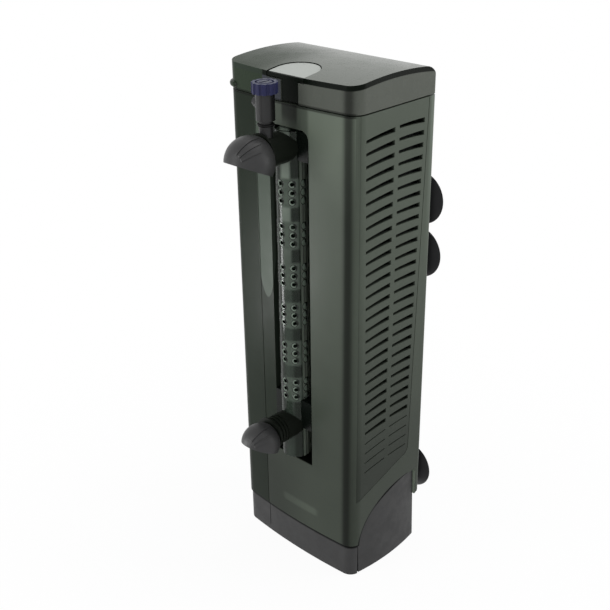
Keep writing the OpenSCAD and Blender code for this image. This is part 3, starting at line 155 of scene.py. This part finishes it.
class Surface:
    """A material being mixed: its shader, its coordinates on the piece and the nodes that shade it."""

    def __init__(self, name, colour, roughness, gloss=0.5):
        self.material = bpy.data.materials.new(name)
        self.material.use_nodes = True
        self.tree = self.material.node_tree
        self.shader = self.tree.nodes["Principled BSDF"]
        self.shader.inputs["Base Color"].default_value = (*colour, 1)
        self.shader.inputs["Roughness"].default_value = roughness
        self.shader.inputs["Specular IOR Level"].default_value = gloss
        self.place = self.tree.nodes.new("ShaderNodeTexCoord").outputs["Object"]
        self.x, self.y, self.z = self.node("ShaderNodeSeparateXYZ", {0: self.place}).outputs

    def node(self, kind, inputs=(), **settings):
        made = self.tree.nodes.new(kind)
        for key, value in settings.items():
            setattr(made, key, value)
        for key, value in dict(inputs).items():
            if isinstance(value, bpy.types.NodeSocket):
                self.tree.links.new(value, made.inputs[key])
            else:
                made.inputs[key].default_value = value
        return made

    def maths(self, operation, a, b=0.0):
        return self.node("ShaderNodeMath", {0: a, 1: b}, operation=operation).outputs[0]

    def squares(self, a, b):
        """a squared plus b squared."""
        return self.maths("ADD", self.maths("MULTIPLY", a, a), self.maths("MULTIPLY", b, b))

    def ramp(self, value, low, high, from_value=0.0, to_value=1.0):
        limits = {"Value": value, "From Min": low, "From Max": high, "To Min": from_value, "To Max": to_value}
        return self.node("ShaderNodeMapRange", limits, interpolation_type="SMOOTHSTEP").outputs["Result"]

    def between(self, value, low, high, soft=0.2 * MM):
        """1 from low to high, 0 outside, with soft ends."""
        rise = self.ramp(value, low - soft, low + soft)
        return self.maths("MULTIPLY", rise, self.ramp(value, high - soft, high + soft, 1.0, 0.0))

    def both(self, *shares):
        made = shares[0]
        for share in shares[1:]:
            made = self.maths("MULTIPLY", made, share)
        return made

    def normal(self):
        """The face's own normal, which turns with the piece."""
        outward = self.node("ShaderNodeNewGeometry").outputs["True Normal"]
        how = {"vector_type": "NORMAL", "convert_from": "WORLD", "convert_to": "OBJECT"}
        own = self.node("ShaderNodeVectorTransform", {0: outward}, **how)
        return self.node("ShaderNodeSeparateXYZ", {0: own.outputs[0]}).outputs

    def grain(self, scale, detail=3.0):
        inputs = {"Vector": self.place, "Scale": scale, "Detail": detail}
        return self.node("ShaderNodeTexNoise", inputs).outputs["Fac"]

    def mixed(self, share, a, b):
        made = self.node("ShaderNodeMix", data_type="RGBA")
        self.tree.links.new(share, made.inputs[0])
        for socket, value in ((made.inputs[6], a), (made.inputs[7], b)):
            if isinstance(value, bpy.types.NodeSocket):
                self.tree.links.new(value, socket)
            else:
                socket.default_value = (*value, 1)
        return made.outputs[2]

    def cloudy(self, colour, spread=0.08, scale=30):
        """The colour with faint moulding clouds in it."""
        dark, light = (tuple(c * k for c in colour) for k in (1 - spread, 1 + spread))
        return self.mixed(self.grain(scale, 4), dark, light)

    def dimmed(self, colour, share, depth):
        """The colour times depth where share is 1."""
        scale = self.ramp(share, 0.0, 1.0, 1.0, depth)
        return self.node("ShaderNodeVectorMath", {0: colour, "Scale": scale}, operation="SCALE").outputs[0]

    def link(self, value, name):
        self.tree.links.new(value, self.shader.inputs[name])

    def finish(self, colour, roughness, grain_scale, depth):
        """Colour, uneven gloss and the fine grain of the mould."""
        self.link(colour, "Base Color")
        self.link(self.ramp(self.grain(120), 0.3, 0.7, roughness * 0.88, roughness * 1.15), "Roughness")
        skin = {"Height": self.grain(grain_scale), "Distance": depth, "Strength": 1.0}
        self.link(self.node("ShaderNodeBump", skin).outputs[0], "Normal")
        return self.material


def moulded(name, colour, roughness, gloss=0.5, grain_scale=2600, depth=0.00002):
    """Plain moulded plastic or rubber."""
    surface = Surface(name, colour, roughness, gloss)
    return surface.finish(surface.cloudy(colour, 0.1, 38), roughness, grain_scale, depth)


def dress(material, *names):
    for name in names:
        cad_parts[name].data.materials.clear()
        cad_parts[name].data.materials.append(material)


SMOKED = (0.084, 0.099, 0.078)
CORNER_X, CORNER_Y, CORNER_SPREAD = 47.5 * MM, -35.2 * MM, 2.6 * MM
FRONT_Y, FRONT_FADE = -37.9 * MM, (-22 * MM, -28 * MM)
CREASE_X = -27 * MM
RECESS_X, RECESS_Y, RECESS_Z = (-15.3 * MM, 18.6 * MM), (-37.1 * MM, -16 * MM), (80.2 * MM, 316.3 * MM)
FINGER_X, FINGER_Z, FINGER_CURVE = -20.2 * MM, 197 * MM, 360.0
CHEEK_Y, CHEEK_Z, CHEEK_DEPTH, CHEEK_RISE = 23.7 * MM, 24 * MM, 51 * MM, 35 * MM
SEAM_FADE = (-24 * MM, -28 * MM)


def corner_shade(surface):
    """How near a point is to the middle of a front corner, where the corner is painted in shade."""
    across = surface.maths("SUBTRACT", surface.maths("ABSOLUTE", surface.x), CORNER_X)
    along = surface.maths("SUBTRACT", surface.y, CORNER_Y)
    falling = surface.maths("MULTIPLY", surface.squares(across, along), -0.5 / CORNER_SPREAD**2)
    return surface.maths("EXPONENT", falling)


shell = Surface("smoked_shell", SMOKED, 0.32, 0.07)
facing = shell.normal()
forward = shell.ramp(facing[1], -0.8, -0.5, 1.0, 0.0)
aside = shell.ramp(shell.maths("ABSOLUTE", facing[0]), 0.5, 0.8)
front = shell.both(forward, shell.ramp(shell.y, *FRONT_FADE))
tone = shell.cloudy(SMOKED)
# painted shade: the whole shell darker towards the bottom
tone = shell.dimmed(tone, shell.ramp(shell.z, 0.32, 0.02), 0.66)
lit_top = shell.both(front, shell.ramp(shell.x, 16 * MM, 20 * MM), shell.ramp(shell.z, 0.24, 0.34))
tone = shell.dimmed(tone, lit_top, 1.7)
# painted shade low on the sides and in the middle of each front corner
tone = shell.dimmed(tone, shell.both(aside, shell.ramp(shell.z, 0.16, 0.06)), 0.8)
tone = shell.dimmed(tone, corner_shade(shell), 0.22)
# painted shade low on the front, deepest to the left
low_left = shell.both(front, shell.ramp(shell.x, 26 * MM, -14 * MM), shell.ramp(shell.z, 0.12, 0.06))
tone = shell.dimmed(tone, low_left, 0.75)
# left of the recess the wall is painted darker as shade, with a black painted shadow line along the crease further
# left
rightward = shell.ramp(facing[0], 0.5, 0.8)
near_left_wall = shell.between(shell.x, -15.6 * MM, -14 * MM)
recess_left = shell.both(rightward, near_left_wall, shell.ramp(shell.y, -18 * MM, -22 * MM))
past_crease = shell.ramp(shell.x, CREASE_X + 0.2 * MM, CREASE_X - 0.2 * MM)
beside_recess = shell.both(shell.ramp(shell.x, -14.6 * MM, -15.2 * MM), shell.ramp(shell.z, 78 * MM, 79 * MM))
left_part = shell.maths("MAXIMUM", past_crease, beside_recess)
tone = shell.mixed(shell.both(front, left_part), tone, (0.011, 0.018, 0.010))
# painted shade low on the front, left of the recess
low_front = shell.both(front, shell.ramp(shell.x, 6 * MM, CREASE_X), shell.ramp(shell.z, 90 * MM, 60 * MM))
tone = shell.dimmed(tone, low_front, 0.8)
crease = shell.between(shell.x, CREASE_X - 0.25 * MM, CREASE_X + 0.25 * MM, 0.05 * MM)
tone = shell.dimmed(tone, shell.both(front, crease), 0.15)
# painted shade inside the recess, darkest on its floor, and on its left wall
recess = shell.both(
    shell.between(shell.x, *RECESS_X),
    shell.between(shell.z, *RECESS_Z),
    shell.between(shell.y, *RECESS_Y, 0.4 * MM),
)
tone = shell.mixed(recess, tone, (0.050, 0.060, 0.048))
tone = shell.dimmed(tone, shell.both(recess, shell.ramp(facing[2], 0.5, 0.8)), 0.1)
tone = shell.mixed(recess_left, tone, (0.032, 0.042, 0.031))
# a pale finger-shaped reflection runs down the front and turns into the recess
into_recess = shell.maths("MULTIPLY", shell.maths("SUBTRACT", shell.y, FRONT_Y), 1.1)
run = shell.maths("ADD", shell.x, into_recess)
off_axis = shell.maths("SUBTRACT", run, FINGER_X)
bend = shell.maths("MULTIPLY", shell.maths("MULTIPLY", off_axis, off_axis), FINGER_CURVE)
over_tip = shell.maths("SUBTRACT", shell.z, shell.maths("ADD", bend, FINGER_Z))
finger = shell.both(
    shell.between(run, -26.7 * MM, -11.5 * MM, 0.3 * MM),
    shell.ramp(over_tip, -0.6 * MM, 0.6 * MM),
    shell.maths("MAXIMUM", front, recess_left),
)
tone = shell.mixed(finger, tone, (0.074, 0.094, 0.073))
# painted shade under the lid's tongue and rim, the rear edge painted pale as light shining through it, a darker
# line along the rear edge, painted light on the shaded cut face beside the cheek's rear, and a lighter patch low
# on the front
above_recess = shell.between(shell.x, -3.2 * MM, 9.5 * MM, 1.5 * MM)
tone = shell.dimmed(tone, shell.both(front, above_recess, shell.ramp(shell.z, 312 * MM, 326 * MM)), 0.3)
tone = shell.dimmed(tone, shell.both(front, shell.ramp(shell.z, 328.4 * MM, 329.4 * MM)), 0.35)
rear = shell.both(shell.ramp(shell.y, 31.5 * MM, 34.5 * MM), shell.ramp(shell.z, 0.2, 0.34))
tone = shell.mixed(rear, tone, (0.145, 0.172, 0.140))
tone = shell.dimmed(tone, shell.between(shell.y, 37.3 * MM, 37.9 * MM), 0.5)
foot = shell.both(forward, shell.between(shell.y, 32 * MM, 33.2 * MM), shell.ramp(shell.z, 0.06, 0.055))
tone = shell.dimmed(tone, foot, 5.0)
patch = shell.both(
    front,
    shell.between(shell.x, -10 * MM, 22 * MM, 3 * MM),
    shell.between(shell.z, 39 * MM, 45 * MM, 2 * MM),
)
tone = shell.dimmed(tone, patch, 1.5)


def cheek_edge(surface, low, high):
    """1 in a thin band along a cheek's elliptical upper edge; low and high are shares of its half axes."""
    across = surface.maths("DIVIDE", surface.maths("SUBTRACT", surface.y, CHEEK_Y), CHEEK_DEPTH)
    over = surface.maths("DIVIDE", surface.maths("SUBTRACT", surface.z, CHEEK_Z), CHEEK_RISE)
    band = surface.between(surface.maths("SQRT", surface.squares(across, over)), low, high, 0.003)
    return surface.both(band, surface.ramp(surface.y, 24 * MM, 23 * MM), surface.ramp(surface.z, 23 * MM, 24 * MM))


# a painted shadow line on the housing along each cheek's upper edge
tone = shell.dimmed(tone, shell.both(aside, cheek_edge(shell, 0.99, 1.032)), 0.12)
# a painted shadow line where the housing meets the base
seam = shell.both(shell.ramp(shell.z, 26.0 * MM, 25.8 * MM), shell.ramp(shell.y, *SEAM_FADE))
tone = shell.dimmed(tone, seam, 0.04)
shell.finish(tone, 0.32, 2600, 0.000012)
dress(shell.material, "housing")

louvre = Surface("smoked_louvre", SMOKED, 0.32, 0.07)
tone = louvre.cloudy(SMOKED, 0.08)
# painted shade: darker towards the bottom, and darker still low down
tone = louvre.dimmed(tone, louvre.ramp(louvre.z, 0.32, 0.02), 0.45)
tone = louvre.dimmed(tone, louvre.ramp(louvre.z, 0.14, 0.06), 0.72)
panel_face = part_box("louvre_panel_right")[1][0]
off_middle = louvre.maths("ABSOLUTE", louvre.x)
# painted shade inside the slots
inside_slot = louvre.ramp(off_middle, panel_face - 1.6 * MM, panel_face - 0.2 * MM, 1.0, 0.0)
tone = louvre.dimmed(tone, inside_slot, 0.35)
louvre.finish(tone, 0.32, 2600, 0.000012)
dress(louvre.material, "louvre_panel_left", "louvre_panel_right")

# ---- Lid --------------------------------------------------------------------
# The same smoked plastic. Its thin arched top skin is painted pale as lit from
# above, paler to the back as a painted reflection, and the thick rim under it is
# painted almost black as shade. It hinges at the rear edge.
ARCH_R, ARCH_Z = 242.167 * MM, 107.833 * MM
cover = Surface("smoked_lid", SMOKED, 0.26, 0.06)
facing = cover.normal()
upward = cover.ramp(facing[2], 0.35, 0.65)
sideways = cover.ramp(cover.maths("ABSOLUTE", facing[2]), 0.35, 0.65, 1.0, 0.0)
front = cover.both(cover.ramp(facing[1], -0.8, -0.5, 1.0, 0.0), cover.ramp(cover.y, *FRONT_FADE))
crown = cover.maths("SQRT", cover.maths("SUBTRACT", ARCH_R**2, cover.maths("MULTIPLY", cover.y, cover.y)))
below_top = cover.maths("SUBTRACT", cover.maths("ADD", crown, ARCH_Z), cover.z)
tone = cover.cloudy((0.100, 0.108, 0.092))
tone = cover.dimmed(tone, cover.both(sideways, corner_shade(cover)), 0.3)
# painted shade on the left end of the lid's front
left_end = cover.ramp(cover.x, -18.6 * MM, -19.8 * MM)
tone = cover.mixed(cover.both(front, left_end), tone, (0.030, 0.044, 0.027))
beside_tongue = cover.both(front, cover.between(cover.x, -19.4 * MM, -3.6 * MM))
tone = cover.mixed(beside_tongue, tone, (0.052, 0.056, 0.066))
# painted shade along the lower edge of the lid's front
tone = cover.dimmed(tone, cover.both(front, cover.ramp(cover.z, 332.2 * MM, 331.4 * MM)), 0.45)
# painted light on the top, paler towards the back as a painted reflection, with painted shade at its left end
back_reflection = cover.mixed(cover.ramp(cover.y, 0.0, 36 * MM), (0.180, 0.192, 0.172), (0.270, 0.280, 0.262))
shaded_top_end = cover.both(cover.ramp(cover.x, 2 * MM, -30 * MM), cover.ramp(cover.y, 34 * MM, -12 * MM))
tone = cover.mixed(upward, tone, cover.mixed(shaded_top_end, back_reflection, (0.024, 0.036, 0.021)))
# the rim under the top painted dark as shade, black at the left end
rim = cover.both(sideways, cover.ramp(below_top, 2.9 * MM, 3.4 * MM, 1.0, 0.0))
tone = cover.mixed(rim, tone, cover.mixed(left_end, (0.002, 0.004, 0.002), (0.030, 0.042, 0.030)))
cover.finish(tone, 0.26, 1400, 0.000002)
dress(cover.material, "lid")

# ---- Release tab ------------------------------------------------------------
# A half-moon that sits flush in the lid's top, painted pale above as a lit face
# and painted black as shade on the tongue that hangs down the front and latches
# behind the housing's neck.
tab = Surface("pale_tab", (0.42, 0.44, 0.41), 0.4, 0.04)
facing = tab.normal()
# the top painted pale as a lit face, all the rest painted black as shade
top = tab.both(tab.ramp(facing[2], 0.5, 0.7), tab.ramp(tab.y, -36.6 * MM, -36.2 * MM))
tone = tab.mixed(top, (0.003, 0.005, 0.003), tab.cloudy((0.45, 0.47, 0.44), 0.04))
tab.finish(tone, 0.4, 2600, 0.00001)
dress(tab.material, "lid_tab")

# ---- Base, bottom cover and cheeks -----------------------------------------
# Dark grey plastic with a fine matt grain. The skirt meets the housing in a
# black shadow line, and the cheeks clip over the sides.
skirt = Surface("matt_base", (0.030, 0.030, 0.030), 0.5, 0.25)
tone = skirt.cloudy((0.034, 0.034, 0.034), 0.08)
seam = skirt.both(skirt.ramp(skirt.z, 22.9 * MM, 23.1 * MM), skirt.ramp(skirt.y, *SEAM_FADE))
tone = skirt.dimmed(tone, seam, 0.02)
skirt.finish(tone, 0.5, 3200, 0.00003)
dress(skirt.material, "base", "bottom_cover")
cheek = Surface("matt_cheek", (0.025, 0.025, 0.025), 0.5, 0.25)
# a painted shadow line along each cheek's upper edge
tone = cheek.dimmed(cheek.cloudy((0.026, 0.026, 0.026), 0.08), cheek_edge(cheek, 0.982, 1.02), 0.25)
cheek.finish(tone, 0.5, 3200, 0.00003)
dress(cheek.material, "cheek_left", "cheek_right")

# ---- Spray bar --------------------------------------------------------------
# A clear green-tinted tube with rows of jets. A sleeve inside evens the flow,
# and caps are pressed into its ends.
BAR_Y, BAR_R, BAR_WALL = -33.6 * MM, 10 * MM, 1.8 * MM
JET_Z, JET_PITCH, JET_ROW, JET_R = 137.9 * MM, 27.7 * MM, 5.6 * MM, 1.3 * MM
JET_GROUPS, JET_ROWS = 6, 3
JET_COLUMNS, HALF_COLUMN = (-45, 0, 45, 90), 22.5
RIGHT_X, RIGHT_Y = 0.713, 0.701
JET_DARK = (0.004, 0.008, 0.004)


def across_tube(surface, off_y, tube_r):
    """From -1 at an upright tube's left edge to 1 at its right, as they lie from the filter's front right."""
    by_x = surface.maths("MULTIPLY", surface.x, RIGHT_X / tube_r)
    return surface.maths("ADD", by_x, surface.maths("MULTIPLY", off_y, RIGHT_Y / tube_r))


clear = Surface("clear_tube", (0.05, 0.075, 0.05), 0.1, 0.12)
off_y = clear.maths("SUBTRACT", clear.y, BAR_Y)
radius = clear.maths("SQRT", clear.squares(clear.x, off_y))
across = across_tube(clear, off_y, BAR_R)
# painted light and shade round the tube: a lit side pale high up and dark low down, a dark left half, a pale right
# part and two thin dark lines
lit_side = clear.mixed(clear.ramp(clear.z, 0.20, 0.30), (0.038, 0.051, 0.039), (0.220, 0.262, 0.216))
lit_side = clear.mixed(clear.ramp(across, -0.78, -0.9), lit_side, (0.016, 0.024, 0.016))
tone = clear.mixed(clear.between(across, -0.66, -0.12, 0.12), (0.014, 0.021, 0.014), lit_side)
tone = clear.mixed(clear.ramp(across, 0.42, 0.52), tone, (0.160, 0.185, 0.150))
tone = clear.dimmed(tone, clear.between(across, 0.62, 0.68, 0.03), 0.4)
tone = clear.dimmed(tone, clear.between(across, 0.80, 0.86, 0.03), 0.4)
above_first = clear.maths("SUBTRACT", clear.z, JET_Z)
top_group_z = JET_Z + (JET_GROUPS - 1) * JET_PITCH
jet_heights = clear.between(clear.z, JET_Z - 10 * MM, top_group_z + 10 * MM)
group = clear.both(
    clear.ramp(clear.maths("PINGPONG", above_first, JET_PITCH / 2), 10.4 * MM, 8.2 * MM),
    jet_heights,
    clear.between(across, -0.66, 0.44, 0.14),
)
tone = clear.mixed(group, tone, clear.cloudy((0.080, 0.102, 0.080), 0.35, 420))


def wrapped(value, half):
    """The value brought back to between -half and half, in steps of twice half."""
    return clear.node("ShaderNodeMath", {0: value, 1: half, 2: -half}, operation="WRAP").outputs[0]


# each jet is painted as a small lens: a dark outline, a pale left side and a dark right side, as painted light
# bent round the hole
around = clear.maths("ARCTAN2", clear.x, clear.maths("MULTIPLY", off_y, -1.0))
off_jet = clear.maths("MULTIPLY", wrapped(around, math.radians(HALF_COLUMN)), BAR_R)
in_group = wrapped(above_first, JET_PITCH / 2)
up_jet = wrapped(in_group, JET_ROW / 2)
from_jet = clear.maths("SQRT", clear.squares(off_jet, up_jet))
jet_sweep = [math.radians(JET_COLUMNS[0] - HALF_COLUMN), math.radians(JET_COLUMNS[-1] + HALF_COLUMN)]
jets = clear.both(
    clear.ramp(clear.maths("ABSOLUTE", in_group), 8.5 * MM, 8.3 * MM),
    jet_heights,
    clear.between(around, *jet_sweep, 0.01),
)
aslant = clear.maths("ADD", off_jet, clear.maths("MULTIPLY", up_jet, 0.3))
lens = clear.mixed(clear.ramp(aslant, 0.2 * MM, 1.3 * MM), (0.200, 0.250, 0.200), (0.008, 0.014, 0.008))
tone = clear.mixed(clear.both(jets, clear.ramp(from_jet, 2.4 * MM, 2.2 * MM)), tone, lens)
outline = clear.between(from_jet, 2.15 * MM, 2.6 * MM, 0.1 * MM)
tone = clear.mixed(clear.both(jets, outline), tone, JET_DARK)
# painted shade inside each jet hole
hole = clear.between(radius, BAR_R - BAR_WALL + 0.15 * MM, BAR_R - 0.12 * MM, 0.05 * MM)
tone = clear.mixed(hole, tone, (0.002, 0.003, 0.002))
clear.shader.inputs["Coat Weight"].default_value = 0.12
clear.shader.inputs["Coat Roughness"].default_value = 0.05
clear.link(clear.ramp(hole, 0.0, 1.0, 0.88, 0.97), "Alpha")
clear.link(tone, "Base Color")
dress(clear.material, "spray_bar", "bar_cap_upper", "bar_cap_lower")
milky = Surface("milky_sleeve", (0.10, 0.15, 0.11), 0.3, 0.3)
milky.shader.inputs["Alpha"].default_value = 0.55
milky.finish(milky.cloudy((0.06, 0.095, 0.066), 0.12, 50), 0.3, 1200, 0.00001)
dress(milky.material, "flow_sleeve")


def piece_from(name, bm, material, smooth):
    """An object at the origin with the bmesh's faces, in an order by place. The bmesh is used up."""
    by_place = ((bm.verts, lambda vert: vert.co[:]), (bm.faces, lambda face: face.calc_center_median()[:]))
    for elements, place in by_place:
        for index, element in enumerate(sorted(elements, key=place)):
            element.index = index
        elements.sort()
    mesh = bpy.data.meshes.new(name)
    bm.to_mesh(mesh)
    bm.free()
    for face in mesh.polygons:
        face.use_smooth = smooth
    mesh.materials.append(material)
    piece = bpy.data.objects.new(name, mesh)
    bpy.context.scene.collection.objects.link(piece)
    return piece


# a thin raised rim round each jet, bent to the tube
RIM_R, RIM_WIRE = JET_R + 1.1 * MM, 0.16 * MM
bm = bmesh.new()
for column in JET_COLUMNS:
    for row in range(JET_GROUPS * JET_ROWS):
        height = JET_Z + JET_PITCH * (row // JET_ROWS) + JET_ROW * (row % JET_ROWS - 1)
        turned = Matrix.Rotation(math.radians(column), 4, "Z") @ Matrix.Translation((0, -BAR_R, 0))
        start = bmesh.ops.create_circle(
            bm, segments=6, radius=RIM_WIRE, matrix=Matrix.Translation((RIM_R, 0, 0))
        )["verts"]
        edges = list(dict.fromkeys(edge for vert in start for edge in vert.link_edges))
        bmesh.ops.spin(
            bm, geom=start + edges, axis=(0, 1, 0), cent=(0, 0, 0), steps=16, angle=math.tau, use_merge=True
        )
        ring = list(dict.fromkeys(vert for face in bm.faces if not face.tag for vert in face.verts))
        for vert in ring:
            vert.co.y += BAR_R - math.sqrt(BAR_R**2 - vert.co.x**2)
        bmesh.ops.transform(bm, matrix=Matrix.Translation((0, BAR_Y, height)) @ turned, verts=ring)
        for face in bm.faces:
            face.tag = True
bmesh.ops.recalc_face_normals(bm, faces=bm.faces[:])
rim_green = Surface("rim_green", (0.012, 0.019, 0.012), 0.15, 0.6)
rim_green.finish(rim_green.cloudy((0.012, 0.019, 0.012)), 0.15, 1500, 0.00001)
rims = piece_from("jet_rims", bm, rim_green.material, True)
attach(rims, "filter_body")

# ---- Clips ------------------------------------------------------------------
# Springy black clips grip the bar from behind inside the recess.
dress(moulded("black_clip", (0.004, 0.006, 0.0045), 0.25, 0.12), "bar_clip_upper", "bar_clip_lower")

# ---- Collars and hoods ------------------------------------------------------
# Satin black collars saddle the bar, and dark grey hoods swivel on them.
collar = Surface("satin_collar", (0.009, 0.011, 0.008), 0.38, 0.12)
collar.finish(collar.cloudy((0.009, 0.0112, 0.0082), 0.15), 0.38, 2600, 0.00002)
dress(collar.material, "upper_collar", "lower_collar")
dress(moulded("satin_hood", (0.040, 0.040, 0.040), 0.42, 0.25, 3000, 0.00003), "upper_hood", "lower_hood")

# ---- Air tube, ring and knob ------------------------------------------------
# A dark grey tube stands on the upper collar and ends in a fluted blue knob.
AIR_Y, STEM_R = -54.1 * MM, 5.5 * MM
stem = Surface("dark_tube", (0.030, 0.030, 0.030), 0.4, 0.2)
across = across_tube(stem, stem.maths("SUBTRACT", stem.y, AIR_Y), STEM_R)
# painted shade on the tube's right side and in a band on its left
tone = stem.dimmed(stem.cloudy((0.034, 0.034, 0.034)), stem.ramp(across, 0.35, 0.8), 0.25)
tone = stem.dimmed(tone, stem.between(across, -0.62, -0.3, 0.15), 0.55)
stem.finish(tone, 0.4, 3000, 0.00002)
dress(stem.material, "air_tube")
seal = moulded("seal_rubber", (0.006, 0.006, 0.006), 0.5, 0.15, 3600, 0.00003)
dress(seal, "air_ring", "cord_gland", "shaft_bushes")
knob = Surface("blue_knob", (0.018, 0.020, 0.060), 0.36, 0.15)
upper_face = knob.ramp(knob.normal()[2], 0.5, 0.8)
tone = knob.mixed(upper_face, knob.cloudy((0.024, 0.026, 0.076), 0.1), (0.022, 0.027, 0.066))
off_stem = knob.maths("SQRT", knob.squares(knob.x, knob.maths("SUBTRACT", knob.y, AIR_Y)))
dark_middle = knob.both(upper_face, knob.ramp(off_stem, 3.3 * MM, 2.9 * MM))
tone = knob.mixed(dark_middle, tone, (0.014, 0.018, 0.040))
knob.finish(tone, 0.36, 2400, 0.00002)
dress(knob.material, "air_knob")

# ---- Riser and pump ---------------------------------------------------------
# The riser carries water from the pump to both ports. The sealed motor block
# hangs under the deck with its rotor, and the volute closes the pump.
dress(moulded("smoked_duct", (0.045, 0.055, 0.045), 0.35, 0.4), "riser_duct")
dress(moulded("dark_moulding", (0.036, 0.037, 0.036), 0.48, 0.4, 3000, 0.00003), "pump_deck", "volute")
dress(moulded("potted_motor", (0.012, 0.012, 0.012), 0.42, 0.4, 1800, 0.00004), "motor_block")
dress(moulded("ivory_rotor", (0.50, 0.47, 0.40), 0.4), "impeller")

# ---- Foam carriers and media basket ----------------------------------------
# Ribbed carriers press the foam pads against the louvres, and the slotted
# basket with its folding handle lifts out with the media.
carrier = moulded("dark_carrier", (0.030, 0.032, 0.030), 0.5, 0.4, 3000, 0.00003)
dress(carrier, "foam_carrier_left", "foam_carrier_right")
basket = moulded("dark_basket", (0.030, 0.032, 0.030), 0.5, 0.4, 3000, 0.00003)
dress(basket, "media_basket", "basket_handle")

# ---- Foam pads --------------------------------------------------------------
# A block of black open-pored foam stands behind each louvre panel. Its edges
# are cut square, its faces belly out a little and its skin is all pores.
foam = Surface("black_foam", (0.012, 0.013, 0.013), 0.9, 0.1)
pores = foam.node("ShaderNodeTexVoronoi", {"Vector": foam.place, "Scale": 700.0}).outputs["Distance"]
foam.link(foam.mixed(foam.ramp(pores, 0.1, 0.5), (0.003, 0.003, 0.003), (0.022, 0.024, 0.024)), "Base Color")
pitted = foam.node("ShaderNodeBump", {"Height": pores, "Distance": 0.6 * MM, "Strength": 1.0})
foam.link(pitted.outputs[0], "Normal")
for side in ("left", "right"):
    low, high = (Vector(corner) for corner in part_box("foam_" + side))
    size, middle = high - low, (low + high) / 2
    bm = bmesh.new()
    bmesh.ops.create_cube(bm, size=1, matrix=Matrix.Translation(middle) @ Matrix.Diagonal((*size, 1)))
    for axis, cuts in ((2, 90), (1, 24), (0, 6)):
        normal = Vector([axis == i for i in range(3)])
        for step in range(1, cuts):
            at = low + normal * size[axis] * step / cuts
            everything = bm.verts[:] + bm.edges[:] + bm.faces[:]
            bmesh.ops.bisect_plane(bm, geom=everything, plane_co=at, plane_no=normal)
    for vert in bm.verts:
        share = Vector([(vert.co[i] - middle[i]) / (size[i] / 2) for i in range(3)])
        belly = (1 - share.y**2) * (1 - share.z**4)
        tuck = 0.5 * MM * (1 - belly)
        pore = 0.7 * MM * abs(noise.noise(vert.co * 420)) + 0.1 * MM
        for i in range(3):
            if abs(share[i]) > 0.999:
                vert.co[i] -= math.copysign(pore + (tuck if i == 0 else 0), share[i])
    pad = piece_from("foam_pad_" + side, bm, foam.material, True)
    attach(pad, "filter_body")
    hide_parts("foam_" + side)

# ---- Ceramic rings ----------------------------------------------------------
# Short porous ceramic tubes lie loose in the basket, tipped every way.
ceramic = Surface("ceramic", (0.52, 0.45, 0.35), 0.8, 0.2)
ceramic.finish(ceramic.cloudy((0.50, 0.43, 0.33), 0.2, 90), 0.8, 1500, 0.0002)
low, high = (Vector(corner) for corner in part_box("bio_media"))
RING_R, RING_HOLE, RING_L, RING_ROOM = 5.2 * MM, 2.4 * MM, 11 * MM, 11.4 * MM
pick = random.Random(11)
bm = bmesh.new()
bmesh.ops.create_circle(bm, segments=10, radius=RING_R)
inner = bmesh.ops.extrude_edge_only(bm, edges=bm.edges[:])["geom"]
inner_verts = [v for v in inner if isinstance(v, bmesh.types.BMVert)]
bmesh.ops.scale(bm, vec=(RING_HOLE / RING_R,) * 2 + (1,), verts=inner_verts)
wall = bmesh.ops.extrude_face_region(bm, geom=bm.faces[:])["geom"]
bmesh.ops.translate(bm, vec=(0, 0, RING_L), verts=[v for v in wall if isinstance(v, bmesh.types.BMVert)])
bmesh.ops.translate(bm, vec=(0, 0, -RING_L / 2), verts=bm.verts[:])
bmesh.ops.recalc_face_normals(bm, faces=bm.faces[:])
one_ring = bpy.data.meshes.new("one_ring")
bm.to_mesh(one_ring)
bm.free()
heap = bmesh.new()
across, deep, tall = 4, 3, int((high.z - low.z - 8 * MM) / RING_ROOM)
room = [(high[i] - low[i] - 1 * MM) / n for i, n in enumerate((across, deep))] + [RING_ROOM]
for layer in range(tall):
    for row in range(deep):
        for column in range(across):
            at = low + Vector([0.5 * MM + room[i] * (n + 0.5) for i, n in enumerate((column, row, layer))])
            at.z += pick.uniform(-0.6, 0.6) * MM
            lay = pick.choice(((0, 0, 0), (math.pi / 2, 0, 0), (0, math.pi / 2, 0), (0, 0, 0)))
            turn = Euler([angle + pick.uniform(-0.16, 0.16) for angle in lay])
            before = len(heap.verts)
            heap.from_mesh(one_ring)
            heap.verts.ensure_lookup_table()
            placing = Matrix.Translation(at) @ turn.to_matrix().to_4x4()
            bmesh.ops.transform(heap, matrix=placing, verts=heap.verts[before:])
bpy.data.meshes.remove(one_ring)
rings = piece_from("ceramic_rings", heap, ceramic.material, False)
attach(rings, "filter_body")
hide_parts("bio_media")

# ---- Rear bracket and suction cups ------------------------------------------
# The bracket slides on the housing's rails. Soft black cups hold it to the
# glass, and two more stand at the foot of the housing.
dress(moulded("dark_bracket", (0.030, 0.031, 0.030), 0.5, 0.4, 3000, 0.00003), "rear_bracket")
cup = moulded("cup_rubber", (0.009, 0.009, 0.010), 0.4, 0.2, 2400, 0.00002)
dress(cup, "cup_1", "cup_2", "cup_3", "cup_4", "cup_5", "cup_6")

# ---- Steel fasteners --------------------------------------------------------
# Stainless hinge pins, base screws and the rotor's shaft.
steel = Surface("stainless", (0.6, 0.6, 0.62), 0.3)
steel.shader.inputs["Metallic"].default_value = 1.0
steel.finish(steel.cloudy((0.60, 0.60, 0.62), 0.05, 200), 0.28, 3000, 0.000008)
dress(steel.material, "hinge_pins", "base_screws", "impeller_shaft")
